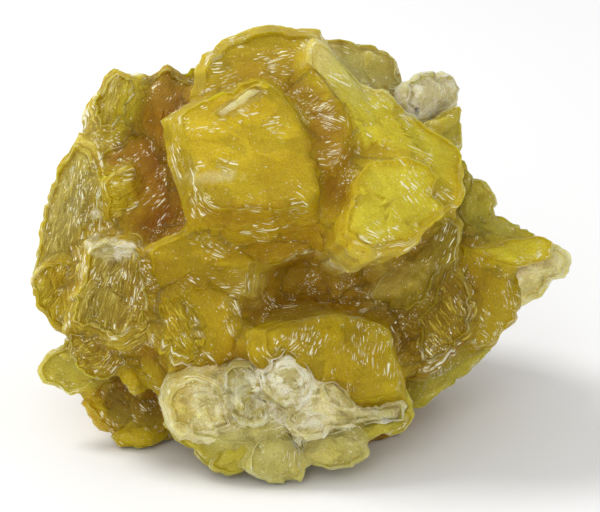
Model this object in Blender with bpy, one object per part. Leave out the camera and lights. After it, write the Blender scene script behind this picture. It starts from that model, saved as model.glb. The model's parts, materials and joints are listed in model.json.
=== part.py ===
"""A hand-sized cluster of yellow lepidolite mica: blocky stacks of plates, called books, grown together.

Lengths are in millimetres until a mesh is made. The front is laid out as a viewer sees it, with
u to the right, v up and w towards the viewer, all measured from the middle of the view. The whole
view is then leaned back, because that viewer looks down on the specimen, and lifted so that the
lowest lobes meet the resting plane at z = 0.
"""

import math
import random

import bmesh
import bpy
from mathutils import Vector

MM = 0.001

# The view that the front is laid out in
LOOK_DOWN = math.radians(20.0)
VIEW_DISTANCE = 333.0
REST_HEIGHT = 18.0

# Where the books grew from, and the lump that they grew on
HEART = Vector((0.0, -1.0, -9.0))
CORE_RADII = Vector((20.0, 16.5, 11.0))
CORE_CENTRE = Vector((-1.0, -0.5, -11.5))

# How a book is cut: its face, and for a high face a ledge under it, whose lip and floor are given as shares
# of the way out to the outline and of the rise, with the share of the face's shift that each keeps
LEDGE_SPREAD = 0.55
LEDGE_DROP = 0.45
LEDGE_MIN_RISE = 1.2
LIP_SPREAD = 0.45
LIP_RISE = 0.15
LIP_SHIFT = 0.8
FLOOR_DROP = 0.1
FLOOR_SHIFT = 0.5

# Where a book's root lies between the heart and the book, and how wide it is against the outline
ROOT_REACH = 0.35
ROOT_SHARE = 1.12
OVERHANG_ROOT_SHARE = 0.8
OVERHANGS = ("main_book", "right_plate", "bright_lobe", "wing_tip")
LOOSE_ROOT_SHARE = 0.85

# The hidden side: books spread evenly over an egg shape, where it faces away from the viewer
SPREAD_COUNT = 62
BACK_CENTRE = Vector((-1.0, -0.5, -9.0))
BACK_REACH = Vector((18.6, 15.8, 13.0))
BACK_LIMIT = -0.15
BACK_SPREAD = (0.92, 1.04)
BACK_TIP = 0.3
BACK_RADIUS = (4.6, 6.8)
BACK_RISE = (1.0, 2.4)
BACK_SEED = 7
GOLDEN_ANGLE = math.pi * (3.0 - math.sqrt(5.0))

# The outline of a loose book: corners, how far one strays as a share of a side, spokes, and breadth
LOOSE_CORNERS = 7
CORNER_STRAY = 0.22
SPOKE_SPREAD = (0.86, 1.1)
LOOSE_BREADTH = 0.82
LOOSE_FACE_SHARE = (0.66, 0.82)

# The broken base: a wide book that faces down, levelled at the resting plane
BASE_CENTRE = Vector((-1.0, -15.4, -9.6))
BASE_RADIUS = 13.0
BASE_RISE = 1.6
FLOOR_CUTTER = 90.0

MICA_COLOUR = (0.62, 0.46, 0.03, 1.0)
MICA_ROUGHNESS = 0.38

# Each book: name, depth of its outline plane, lean of that plane along u and v, share of the outline
# that its face takes, rise of the face above the outline, shift of the face, outline.
BOOKS = [
    # The crown and the big book that faces the viewer
    ("crown", 7.2, (-0.05, -0.5), 0.86, 1.0, (0.0, -0.6),
     [(-10.6, 18.4), (-9.7, 20.0), (-8.4, 21.2), (-7.4, 22.0), (-5.7, 22.5), (-4.4, 23.0), (-3.0, 23.3),
      (-1.4, 22.9), (0.4, 22.8), (1.8, 22.7), (3.0, 20.6), (5.2, 15.6), (5.5, 10.6), (3.5, 8.1),
      (-1.0, 8.6), (-6.0, 13.6), (-9.5, 14.6), (-10.8, 16.1)]),
    ("main_book", 9.0, (-0.05, -0.12), 0.76, 4.2, (0.0, 0.8),
     [(-13.9, 13.6), (-11.8, 14.8), (-9.5, 16.1), (-5.7, 17.7), (-3.6, 17.9), (-1.4, 16.6), (0.6, 14.1),
      (2.4, 10.6), (3.2, 7.1), (3.5, 4.1), (2.5, 2.3), (-0.2, 1.6), (-3.8, 1.3), (-7.2, 1.6),
      (-10.0, 2.0), (-11.2, 3.0), (-12.0, 5.1), (-12.4, 6.6), (-13.0, 8.6), (-13.5, 11.1)]),
    ("face_crest", 12.2, (-0.05, -0.12), 0.7, 0.5, (0.0, 0.0),
     [(-9.5, 13.8), (-8.0, 14.8), (-6.0, 16.1), (-4.5, 17.3), (-3.7, 17.4), (-2.8, 16.9), (-3.8, 16.2),
      (-5.2, 15.2), (-6.8, 14.2), (-8.5, 13.3)]),
    ("valley_book", 9.4, (-0.3, -0.05), 0.9, 0.4, (0.0, 0.0),
     [(1.8, 11.6), (5.2, 12.1), (6.0, 9.1), (4.5, 6.6), (4.4, 4.1), (3.6, 1.3), (1.8, 1.6), (1.0, 5.6)]),
    # The plate and the bright lobe on the right
    ("right_plate", 7.6, (-0.42, -0.22), 0.93, 0.6, (-0.2, -0.2),
     [(0.6, 20.8), (1.1, 22.0), (2.3, 21.5), (4.1, 19.4), (6.3, 17.1), (8.4, 16.5), (10.1, 15.1),
      (12.5, 12.9), (14.8, 11.7), (16.2, 10.6), (16.3, 8.6), (16.6, 6.4), (15.9, 5.2), (14.0, 4.0),
      (12.5, 3.4), (10.0, 4.1), (7.5, 6.6), (5.7, 9.1), (5.0, 12.1), (3.8, 15.6), (2.0, 18.1),
      (0.8, 19.4)]),
    ("bright_lobe", 11.0, (-0.14, -0.22), 0.84, 1.5, (0.5, 0.4),
     [(5.7, 9.1), (7.2, 9.6), (10.0, 9.8), (12.8, 9.1), (13.5, 7.6), (13.0, 5.6), (14.0, 4.0), (12.1, 2.6),
      (11.7, 1.3), (10.4, 0.5), (8.0, -0.1), (6.2, -0.6), (4.7, 0.4), (3.5, 1.3), (3.6, 3.1),
      (4.2, 5.1), (4.3, 7.0)]),
    # Behind the plate, on the skyline
    ("olive_knob", 0.5, (-0.35, -0.3), 0.85, 0.8, (0.0, 0.0),
     [(2.0, 21.8), (4.5, 21.5), (7.6, 20.9), (8.8, 20.2), (9.6, 19.3), (10.2, 18.0), (10.3, 16.7),
      (9.6, 15.5), (8.0, 14.0), (4.5, 15.5), (2.2, 19.0)]),
    ("pale_crest", 0.3, (-0.3, -0.2), 0.8, 1.0, (0.3, 0.2),
     [(9.8, 17.0), (10.8, 17.7), (12.2, 18.0), (13.7, 18.3), (15.0, 18.0), (15.6, 17.0), (15.6, 15.1),
      (14.6, 14.4), (13.2, 13.2), (11.0, 13.0), (9.8, 14.6)]),
    ("pale_wedge", 1.6, (-0.6, 0.1), 0.8, 0.8, (-0.4, 0.4),
     [(12.4, 13.2), (14.6, 14.3), (16.0, 15.0), (16.4, 14.1), (16.1, 12.3), (16.4, 11.4), (16.2, 10.4),
      (14.0, 10.2), (12.5, 11.4)]),
    ("edge_plate", -0.5, (-0.3, 0.0), 0.85, 0.4, (0.0, 0.0),
     [(15.5, 10.6), (16.4, 9.8), (17.3, 7.8), (17.2, 6.1), (15.8, 5.2), (14.6, 8.1)]),
    ("side_disc", -1.8, (-0.35, -0.1), 0.8, 0.8, (-0.2, 0.0),
     [(16.2, 6.8), (17.2, 7.6), (18.4, 7.3), (19.4, 6.3), (19.8, 5.3), (19.6, 4.1), (18.4, 3.2),
      (16.8, 3.0), (15.6, 4.2)]),
    # The wing that points to the right
    ("wing_roof", -2.0, (-0.2, -0.75), 0.9, 0.4, (0.0, 0.0),
     [(16.8, 3.6), (19.6, 4.1), (22.0, 2.8), (24.6, 1.6), (24.7, 0.4), (20.0, -0.8), (17.0, -0.8),
      (15.6, 1.6)]),
    ("wing_band", 0.6, (-0.34, -0.15), 0.86, 0.5, (0.0, 0.0),
     [(17.6, 0.7), (20.5, 1.2), (23.8, 1.9), (25.0, 1.3), (24.7, -0.2), (22.0, -1.0), (19.2, -0.6),
      (17.9, 0.2)]),
    ("wing_tip", -2.4, (-0.3, 0.1), 0.82, 0.7, (-0.3, 0.2),
     [(24.3, 1.8), (26.0, 1.0), (27.1, 0.0), (27.3, -1.0), (26.7, -2.1), (25.6, -2.3), (24.6, -3.7),
      (23.0, -4.7), (22.0, -5.3), (21.0, -3.9), (21.0, -1.4), (22.6, 0.4)]),
    ("wing_amber", -0.6, (-0.5, 0.12), 0.88, 0.8, (-0.2, 0.3),
     [(16.2, 1.1), (17.8, 0.4), (19.3, -0.6), (21.4, -1.2), (21.9, -2.9), (22.3, -5.0), (21.6, -6.6),
      (20.0, -7.9), (19.4, -9.1), (17.8, -9.6), (16.2, -8.9), (16.0, -5.6), (15.8, -2.0)]),
    ("hem_plate", -1.2, (-0.3, 0.35), 0.85, 0.4, (0.0, 0.0),
     [(11.3, -15.2), (11.8, -12.6), (15.3, -10.8), (18.0, -9.2), (19.5, -8.9), (18.7, -9.7), (17.8, -10.7),
      (16.6, -12.2), (14.8, -13.0), (13.0, -14.4), (12.4, -15.0)]),
    ("dark_fan", 2.2, (-0.3, 0.12), 0.7, 1.6, (-0.2, 0.6),
     [(14.0, -1.2), (15.2, -0.2), (16.4, -1.4), (17.2, -3.4), (17.7, -5.6), (16.7, -8.9), (15.8, -10.0),
      (14.0, -11.6), (12.2, -12.6), (11.4, -12.2), (11.2, -9.4), (10.8, -7.4), (11.4, -5.6),
      (12.8, -4.4)]),
    ("olive_leaf", 4.4, (-0.1, 0.1), 0.82, 1.2, (0.0, 0.0),
     [(6.2, -4.4), (8.0, -0.9), (10.5, 1.2), (12.5, 3.4), (15.2, 4.8), (16.2, 3.1), (15.8, -0.2),
      (14.1, -1.2), (13.0, -4.2), (10.8, -5.7), (8.8, -5.8), (6.6, -5.0)]),
    # The shaded hollow and the broad book below it
    ("hollow_wall", 1.0, (0.0, -0.1), 0.9, 0.3, (0.0, 0.0),
     [(-5.5, -4.4), (-3.8, -1.0), (0.0, 1.2), (4.5, 1.6), (8.5, 0.0), (8.5, -5.0), (3.0, -6.4),
      (-3.0, -7.0)]),
    ("lap_top", 5.4, (0.0, -0.55), 0.86, 0.7, (0.3, -0.2),
     [(-6.4, -5.6), (-3.8, -5.0), (-1.4, -5.3), (0.0, -4.2), (2.2, -3.2), (4.5, -4.2), (6.2, -4.4),
      (9.4, -6.6), (9.6, -8.9), (7.0, -10.2), (3.5, -10.4), (0.0, -11.0), (-3.8, -11.0), (-6.2, -9.5)]),
    ("lap_front", 7.6, (-0.2, -0.2), 0.8, 1.6, (0.3, 0.3),
     [(-5.6, -7.6), (-2.0, -6.2), (2.0, -5.6), (6.0, -6.0), (9.3, -7.2), (9.6, -9.6), (10.2, -12.2),
      (10.9, -14.8), (8.5, -15.6), (5.2, -16.0), (3.0, -14.9), (0.0, -13.2), (-4.4, -11.6)]),
    # The pale crust at the foot
    ("pale_rosette", 8.6, (0.22, 0.1), 0.6, 1.8, (0.3, 0.2),
     [(-13.9, -13.6), (-13.4, -12.1), (-11.0, -11.0), (-8.6, -11.5), (-7.2, -13.0), (-6.6, -15.2),
      (-5.7, -17.5), (-7.8, -18.4), (-10.5, -19.1), (-12.2, -18.4), (-13.8, -16.8)]),
    ("silver_disc", 9.9, (-0.1, -0.25), 0.78, 0.8, (0.0, 0.2),
     [(-8.1, -12.9), (-7.0, -11.4), (-5.2, -10.8), (-4.0, -11.6), (-3.4, -14.4), (-3.6, -16.8),
      (-5.7, -17.6), (-7.0, -16.6), (-7.8, -14.7)]),
    ("grey_disc", 10.2, (-0.15, -0.3), 0.8, 0.8, (0.0, 0.2),
     [(-4.1, -11.6), (-3.4, -10.1), (-1.6, -9.5), (0.0, -10.1), (1.3, -11.5), (1.7, -13.0), (1.0, -14.4),
      (-0.8, -15.2), (-2.6, -14.7), (-3.8, -13.4)]),
    ("pale_shell", 9.9, (-0.3, -0.2), 0.75, 0.8, (0.0, 0.2),
     [(1.6, -12.8), (3.0, -12.2), (4.5, -13.6), (5.6, -15.6), (3.8, -15.6), (2.0, -14.6)]),
    ("pale_fan", 9.9, (-0.15, -0.1), 0.78, 0.7, (-0.3, 0.2),
     [(-1.4, -15.2), (1.6, -14.3), (3.5, -14.8), (5.5, -15.8), (7.4, -16.4), (4.5, -17.4), (1.8, -18.6),
      (0.0, -18.2), (-1.2, -16.9)]),
    ("edge_strip", 8.8, (-0.15, -0.2), 0.86, 0.5, (0.0, 0.1),
     [(4.5, -16.4), (6.5, -15.6), (8.8, -15.0), (10.5, -14.8), (10.7, -16.4), (8.5, -16.8), (6.5, -17.0)]),
    ("right_toe", 7.6, (-0.1, 0.2), 0.82, 0.6, (0.0, 0.0),
     [(4.5, -17.4), (7.0, -16.4), (10.4, -15.8), (11.2, -14.8), (11.6, -16.2), (10.2, -17.4), (9.0, -18.0),
      (7.4, -18.2), (6.2, -18.7)]),
    ("right_lobe", 8.6, (-0.05, 0.12), 0.8, 0.9, (-0.2, 0.2),
     [(0.3, -19.9), (1.8, -18.0), (4.5, -17.2), (6.2, -18.5), (7.0, -19.7), (6.5, -20.7), (4.5, -21.5),
      (2.8, -21.5), (1.2, -20.8)]),
    ("middle_lobe", 9.4, (0.0, 0.1), 0.8, 0.9, (0.0, 0.2),
     [(-5.6, -20.0), (-3.8, -18.0), (-1.5, -17.5), (0.0, -19.2), (0.3, -21.0), (-0.1, -22.4), (-1.8, -22.8),
      (-3.8, -22.7), (-5.4, -22.0)]),
    ("left_lobe", 8.6, (0.15, 0.15), 0.8, 0.7, (0.2, 0.2),
     [(-9.4, -21.0), (-7.6, -19.2), (-5.5, -18.2), (-3.8, -18.6), (-5.0, -20.6), (-5.7, -22.0),
      (-7.5, -22.4), (-8.6, -21.8)]),
    ("under_strip", 7.4, (0.2, 0.25), 0.82, 0.5, (0.2, 0.0),
     [(-13.9, -16.8), (-12.0, -17.4), (-10.0, -18.0), (-6.0, -17.4), (-6.8, -19.4), (-9.2, -21.2),
      (-11.0, -19.7), (-12.5, -18.4)]),
    ("white_chip", 10.2, (0.0, -0.1), 0.75, 0.8, (0.0, 0.1),
     [(-1.8, -17.6), (-1.0, -17.0), (0.2, -17.4), (0.9, -18.5), (0.4, -19.9), (-0.7, -19.4)]),
    ("crust_bed", 9.4, (0.0, -0.12), 0.94, 0.4, (0.0, 0.0),
     [(-12.0, -14.0), (-7.0, -12.6), (-1.0, -12.0), (3.0, -13.4), (5.6, -15.8), (3.6, -17.8), (0.0, -18.6),
      (-3.6, -18.4), (-7.4, -18.6), (-11.0, -17.6)]),
    # The middle band
    ("belly_left", 8.2, (-0.05, 0.12), 0.8, 1.4, (0.0, 0.3),
     [(-16.0, 0.6), (-13.5, 2.0), (-10.5, 2.6), (-6.5, 2.0), (-3.8, -0.6), (-4.8, -4.2), (-6.4, -5.0),
      (-9.5, -3.6), (-12.8, -3.0), (-14.8, -3.8), (-15.6, -1.6)]),
    ("belly_right", 7.8, (0.0, 0.4), 0.82, 0.8, (0.0, 0.2),
     [(-7.0, 2.4), (-3.8, 2.2), (0.0, 2.4), (3.7, 2.6), (3.8, 1.0), (0.0, -0.2), (-3.0, -1.2),
      (-5.5, -1.4)]),
    ("ribbed_book", 8.2, (0.1, 0.05), 0.62, 2.0, (0.3, 0.4),
     [(-15.1, -4.4), (-14.0, -3.4), (-12.7, -2.8), (-11.4, -3.6), (-10.0, -5.9), (-8.7, -8.9), (-9.4, -10.6),
      (-11.0, -11.2), (-13.0, -11.6), (-13.8, -10.2), (-14.5, -7.4)]),
    ("lemon_book", 7.8, (-0.2, 0.1), 0.8, 1.4, (0.2, 0.2),
     [(-12.5, -2.8), (-9.5, -2.4), (-6.2, -4.2), (-5.6, -7.9), (-6.6, -10.6), (-9.0, -12.0),
      (-11.5, -11.8)]),
    # The left side
    ("cube_book", 6.4, (0.28, -0.08), 0.76, 2.6, (0.9, 0.2),
     [(-21.6, 1.6), (-20.0, 1.9), (-16.3, 1.8), (-15.0, -0.6), (-14.6, -4.4), (-14.6, -7.9), (-17.0, -9.4),
      (-20.0, -9.0), (-23.6, -7.8), (-23.7, -6.4), (-22.8, -3.2), (-22.0, -0.6)]),
    ("brown_under", 5.4, (0.15, 0.6), 0.84, 0.7, (0.0, 0.0),
     [(-23.7, -7.4), (-21.0, -7.4), (-17.0, -8.8), (-17.1, -10.6), (-19.6, -12.3), (-21.6, -11.6),
      (-23.2, -10.0)]),
    ("slat", 4.6, (0.2, 0.1), 0.7, 0.9, (0.0, 0.0),
     [(-18.2, -11.6), (-17.6, -10.6), (-16.4, -10.4), (-15.4, -12.9), (-16.1, -13.7), (-17.0, -13.6)]),
    ("under_amber", 5.4, (0.1, 0.1), 0.86, 0.5, (0.0, 0.0),
     [(-17.0, -9.0), (-14.6, -7.6), (-12.9, -11.4), (-13.6, -14.8), (-15.0, -13.2), (-16.8, -11.0)]),
    ("green_knob", 0.6, (0.25, 0.0), 0.78, 1.0, (0.2, 0.1),
     [(-26.2, -12.3), (-26.2, -11.3), (-25.4, -9.8), (-23.8, -8.9), (-22.0, -9.6), (-20.0, -12.0),
      (-21.5, -13.6), (-23.0, -13.9), (-24.8, -13.2)]),
    ("brown_foot", -0.2, (0.1, 0.16), 0.78, 1.4, (0.4, 0.4),
     [(-22.2, -14.6), (-21.4, -13.2), (-19.4, -12.1), (-17.0, -11.2), (-14.8, -12.2), (-13.4, -14.6),
      (-12.6, -17.4), (-13.6, -18.9), (-17.5, -19.2), (-18.8, -18.4), (-19.6, -18.0), (-21.0, -16.4)]),
    ("foot_lobe", 0.4, (0.1, 0.2), 0.75, 1.0, (0.0, 0.1),
     [(-19.0, -18.0), (-18.0, -17.0), (-15.5, -16.4), (-14.0, -17.6), (-14.2, -18.8), (-16.0, -19.3),
      (-17.6, -19.3)]),
    ("left_flank", 2.4, (0.75, -0.1), 0.8, 0.9, (0.3, 0.0),
     [(-22.0, 12.2), (-20.4, 11.4), (-19.2, 7.6), (-19.4, 3.8), (-21.0, 1.6), (-22.0, -0.6), (-23.0, -3.4),
      (-24.0, -4.4), (-25.6, -4.4), (-26.8, -4.0), (-27.0, -2.8), (-26.3, 0.6), (-26.1, 2.1),
      (-25.5, 5.1), (-24.8, 7.4), (-23.8, 9.6)]),
    ("left_low", 2.8, (0.4, 0.2), 0.78, 0.9, (0.3, 0.2),
     [(-27.0, -2.7), (-26.2, -0.6), (-23.0, 0.0), (-22.2, -3.2), (-23.0, -6.4), (-23.9, -7.7), (-25.3, -6.7),
      (-26.4, -5.0)]),
    ("left_top_book", 1.2, (0.45, -0.2), 0.55, 3.4, (1.5, 0.1),
     [(-22.0, 12.6), (-21.9, 14.0), (-20.5, 16.3), (-19.2, 18.5), (-18.3, 18.8), (-17.0, 18.3),
      (-15.2, 18.0), (-15.6, 15.8), (-17.0, 12.1), (-19.2, 10.6), (-20.8, 10.6)]),
    ("upper_mid", 2.6, (-0.05, -0.4), 0.78, 1.4, (0.0, -0.3),
     [(-16.9, 15.8), (-15.2, 18.0), (-14.2, 18.6), (-12.9, 19.1), (-11.9, 17.9), (-10.4, 17.4),
      (-9.8, 15.6), (-11.0, 13.2), (-12.4, 10.6), (-14.2, 9.6), (-16.3, 11.6)]),
    ("saddle", 0.8, (0.0, -0.3), 0.85, 0.3, (0.0, 0.0),
     [(-12.4, 18.3), (-10.3, 18.6), (-9.6, 16.1), (-12.0, 15.6)]),
    ("amber_fill", 4.6, (0.08, -0.08), 0.84, 1.0, (0.3, 0.0),
     [(-20.6, 10.8), (-18.2, 11.6), (-16.0, 12.8), (-13.5, 12.1), (-12.2, 7.6), (-11.6, 4.1), (-12.6, 2.1),
      (-15.0, 1.0), (-18.0, 1.0), (-20.6, 1.4), (-20.6, 5.6)]),
    ("comb_book", 5.2, (-0.2, 0.1), 0.66, 1.0, (0.2, 0.4),
     [(-20.0, 7.6), (-18.8, 8.8), (-16.5, 9.4), (-15.6, 5.6), (-15.9, 2.8), (-18.2, 2.4), (-20.0, 2.8)]),
]

# Books that close the flanks behind the front ones: name, centre, way it faces, radius, rise
FLANK_BOOKS = [
    ("crown_back", (-3.0, 16.6, -2.6), (-0.15, 0.85, -0.5), 6.8, 1.8),
    ("crown_shoulder", (-9.5, 14.2, -3.6), (-0.45, 0.75, -0.5), 5.4, 1.4),
    ("knob_back", (6.4, 15.4, -4.4), (0.35, 0.8, -0.5), 5.6, 1.4),
    ("crest_back", (12.6, 12.2, -4.6), (0.65, 0.55, -0.5), 4.2, 1.0),
    ("top_left_back", (-16.2, 12.4, -4.6), (-0.6, 0.6, -0.5), 5.2, 1.4),
    ("left_back", (-21.4, 3.6, -4.4), (-0.85, 0.15, -0.5), 6.2, 1.4),
    ("left_low_back", (-20.6, -5.0, -4.8), (-0.8, -0.3, -0.5), 5.8, 1.4),
    ("foot_back", (-16.6, -13.2, -5.6), (-0.5, -0.6, -0.6), 4.8, 1.2),
    ("disc_back", (15.6, 4.2, -6.2), (0.8, 0.3, -0.5), 5.0, 1.2),
    ("wing_back", (20.4, -2.0, -5.2), (0.55, 0.0, -0.8), 4.4, 1.0),
    ("hem_back", (15.0, -8.6, -6.0), (0.7, -0.4, -0.6), 5.0, 1.2),
    ("lobe_back", (6.0, -15.0, -2.0), (0.3, -0.8, -0.5), 5.0, 1.0),
    ("toe_back", (-6.0, -16.2, -1.0), (-0.2, -0.85, -0.5), 5.0, 1.0),
]


def to_row(point):
    """A point of the leaned view, in the row's own axes."""
    u, v, w = point
    down, level = math.sin(LOOK_DOWN), math.cos(LOOK_DOWN)
    return Vector((u, v * down - w * level, v * level + w * down + REST_HEIGHT))


def on_plane(u, v, middle, lean):
    """The point of a leaning plane through middle that the viewer sees at u, v."""
    lean_u, lean_v = lean
    top = middle.z + lean_u * (u - middle.x) + lean_v * (v - middle.y)
    w = top / (1.0 + (lean_u * u + lean_v * v) / VIEW_DISTANCE)
    near = 1.0 - w / VIEW_DISTANCE
    return Vector((u * near, v * near, w))


def stack_mesh(name, rim, normal, face_share, rise, shift, root, root_share):
    """A book: its face, one ledge below it where there is room, its rim, and its root inside the cluster."""
    middle = sum(rim, Vector()) / len(rim)
    ledge_share = face_share + (1.0 - face_share) * LEDGE_SPREAD
    ledge_height = rise * (1.0 - LEDGE_DROP)
    rings = [(face_share, rise, 1.0)]
    if rise > LEDGE_MIN_RISE:
        lip_share = face_share + (ledge_share - face_share) * LIP_SPREAD
        rings.append((lip_share, ledge_height + LIP_RISE * rise, LIP_SHIFT))
        rings.append((ledge_share, ledge_height - FLOOR_DROP * rise, FLOOR_SHIFT))
    rings.append((1.0, 0.0, 0.0))
    bm = bmesh.new()
    loops = []
    for share, height, shifted in rings:
        centre = middle + shift * shifted + normal * height
        loops.append([bm.verts.new(centre + (p - middle) * share) for p in rim])
    loops.append([bm.verts.new(root + (p - middle) * root_share) for p in rim])
    bm.faces.new(loops[0])
    bm.faces.new(reversed(loops[-1]))
    count = len(rim)
    for upper, lower in zip(loops, loops[1:]):
        for i in range(count):
            j = (i + 1) % count
            bm.faces.new((upper[j], upper[i], lower[i], lower[j]))
    for vert in bm.verts:
        vert.co = to_row(vert.co) * MM
    bmesh.ops.triangulate(bm, faces=bm.faces[:])
    bmesh.ops.recalc_face_normals(bm, faces=bm.faces[:])
    mesh = bpy.data.meshes.new(name)
    bm.to_mesh(mesh)
    bm.free()
    return mesh


def front_book(name, depth, lean, face_share, rise, shift, outline):
    """One book of the front, from its outline as the viewer sees it."""
    near = 1.0 - depth / VIEW_DISTANCE
    mean_u = sum(u for u, v in outline) / len(outline)
    mean_v = sum(v for u, v in outline) / len(outline)
    middle = Vector((mean_u * near, mean_v * near, depth))
    rim = [on_plane(u, v, middle, lean) for u, v in outline]
    normal = Vector((-lean[0], -lean[1], 1.0)).normalized()
    slide = Vector((shift[0], shift[1], lean[0] * shift[0] + lean[1] * shift[1]))
    root = HEART.lerp(middle, ROOT_REACH)
    root_share = OVERHANG_ROOT_SHARE if name in OVERHANGS else ROOT_SHARE
    return stack_mesh(name, rim, normal, face_share, rise, slide, root, root_share)


def loose_book(name, centre, facing, radius, rise, rng):
    """A book of the hidden side: a stack with even sides, a little narrower one way, that faces outwards."""
    normal = facing.normalized()
    across = normal.orthogonal().normalized()
    along = normal.cross(across)
    spin = rng.uniform(0.0, math.pi)
    rim = []
    for corner in range(LOOSE_CORNERS):
        angle = spin + (corner + rng.uniform(-CORNER_STRAY, CORNER_STRAY)) * math.tau / LOOSE_CORNERS
        spoke = radius * rng.uniform(*SPOKE_SPREAD)
        breadth = spoke * LOOSE_BREADTH
        rim.append(centre + across * (spoke * math.cos(angle)) + along * (breadth * math.sin(angle)))
    root = HEART.lerp(centre, ROOT_REACH)
    face_share = rng.uniform(*LOOSE_FACE_SHARE)
    return stack_mesh(name, rim, normal, face_share, rise, Vector(), root, LOOSE_ROOT_SHARE)


def back_books(rng):
    """The books of the side that faces away from the viewer, spread along a golden spiral."""
    for index in range(SPREAD_COUNT):
        height = 1.0 - 2.0 * (index + 0.5) / SPREAD_COUNT
        flat = math.sqrt(1.0 - height * height)
        turn = index * GOLDEN_ANGLE
        way = Vector((flat * math.cos(turn), height, flat * math.sin(turn)))
        if way.z > BACK_LIMIT:
            continue
        reach = Vector(a * b for a, b in zip(way, BACK_REACH)) * rng.uniform(*BACK_SPREAD)
        tip = Vector(rng.uniform(-BACK_TIP, BACK_TIP) for axis in range(3))
        radius = rng.uniform(*BACK_RADIUS)
        rise = rng.uniform(*BACK_RISE)
        yield loose_book(f"back_{index}", BACK_CENTRE + reach, way + tip, radius, rise, rng)


def lump_mesh(name, centre, radii, subdivisions):
    """A plain faceted lump."""
    bm = bmesh.new()
    bmesh.ops.create_icosphere(bm, subdivisions=subdivisions, radius=1.0)
    for vert in bm.verts:
        point = Vector((vert.co.x * radii.x, vert.co.y * radii.y, vert.co.z * radii.z)) + centre
        vert.co = to_row(point) * MM
    mesh = bpy.data.meshes.new(name)
    bm.to_mesh(mesh)
    bm.free()
    return mesh


def helper(mesh, collection):
    """An object that only takes part in a Boolean."""
    obj = bpy.data.objects.new(mesh.name, mesh)
    collection.objects.link(obj)
    obj.hide_render = True
    obj.display_type = "WIRE"
    return obj


def floor_cutter():
    """A block under the resting plane, which levels what reaches below it."""
    bm = bmesh.new()
    bmesh.ops.create_cube(bm, size=FLOOR_CUTTER * MM)
    bmesh.ops.translate(bm, verts=bm.verts[:], vec=(0.0, 0.0, -0.5 * FLOOR_CUTTER * MM))
    mesh = bpy.data.meshes.new("floor_cutter")
    bm.to_mesh(mesh)
    bm.free()
    return mesh


def outer_shell(mesh):
    """Deletes every closed shell of the mesh but the largest, so that no pocket is left inside."""
    bm = bmesh.new()
    bm.from_mesh(mesh)
    bmesh.ops.triangulate(bm, faces=bm.faces[:])
    unseen = set(bm.faces)
    shells = []
    while unseen:
        reached = [unseen.pop()]
        shell = []
        while reached:
            face = reached.pop()
            shell.append(face)
            for edge in face.edges:
                for other in edge.link_faces:
                    if other in unseen:
                        unseen.remove(other)
                        reached.append(other)
        shells.append(shell)
    shells.sort(key=len)
    for shell in shells[:-1]:
        bmesh.ops.delete(bm, geom=shell, context="FACES")
    bm.to_mesh(mesh)
    bm.free()


def mica_material():
    material = bpy.data.materials.new("yellow_mica")
    material.use_nodes = True
    shader = material.node_tree.nodes["Principled BSDF"]
    shader.inputs["Base Color"].default_value = MICA_COLOUR
    shader.inputs["Roughness"].default_value = MICA_ROUGHNESS
    shader.inputs["Metallic"].default_value = 0.0
    return material


def main():
    for obj in list(bpy.data.objects):
        bpy.data.objects.remove(obj)

    books = bpy.data.collections.new("books")
    bpy.context.scene.collection.children.link(books)
    for book in BOOKS:
        helper(front_book(*book), books)
    rng = random.Random(BACK_SEED)
    for name, centre, facing, radius, rise in FLANK_BOOKS:
        helper(loose_book(name, Vector(centre), Vector(facing), radius, rise, rng), books)
    for mesh in back_books(rng):
        helper(mesh, books)
    straight_down = Vector((0.0, -math.cos(LOOK_DOWN), -math.sin(LOOK_DOWN)))
    helper(loose_book("base", BASE_CENTRE, straight_down, BASE_RADIUS, BASE_RISE, rng), books)

    core = bpy.data.objects.new("core", lump_mesh("core", CORE_CENTRE, CORE_RADII, 2))
    bpy.context.scene.collection.objects.link(core)
    join = core.modifiers.new("join", "BOOLEAN")
    join.operation = "UNION"
    join.operand_type = "COLLECTION"
    join.collection = books
    join.solver = "EXACT"
    floor = helper(floor_cutter(), bpy.context.scene.collection)
    level = core.modifiers.new("level", "BOOLEAN")
    level.operation = "DIFFERENCE"
    level.object = floor
    level.solver = "EXACT"

    graph = bpy.context.evaluated_depsgraph_get()
    graph.update()
    mesh = bpy.data.meshes.new_from_object(core.evaluated_get(graph))
    for obj in [core, floor, *books.objects]:
        bpy.data.objects.remove(obj)
    outer_shell(mesh)
    mesh.name = "lepidolite_cluster"
    mesh.materials.clear()
    mesh.materials.append(mica_material())
    cluster = bpy.data.objects.new("lepidolite_cluster", mesh)
    bpy.context.scene.collection.objects.link(cluster)


main()
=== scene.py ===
"""Dresses the cluster of yellow mica: one fused skin of plate stacks, its stone materials, light and camera.

Lengths are in millimetres until a mesh is made. The front is laid out as the viewer sees it, with u to
the right, v up and w towards the viewer, measured from the middle of the view, and then leaned back.
"""

import json
import math
import random
from collections import namedtuple

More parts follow.
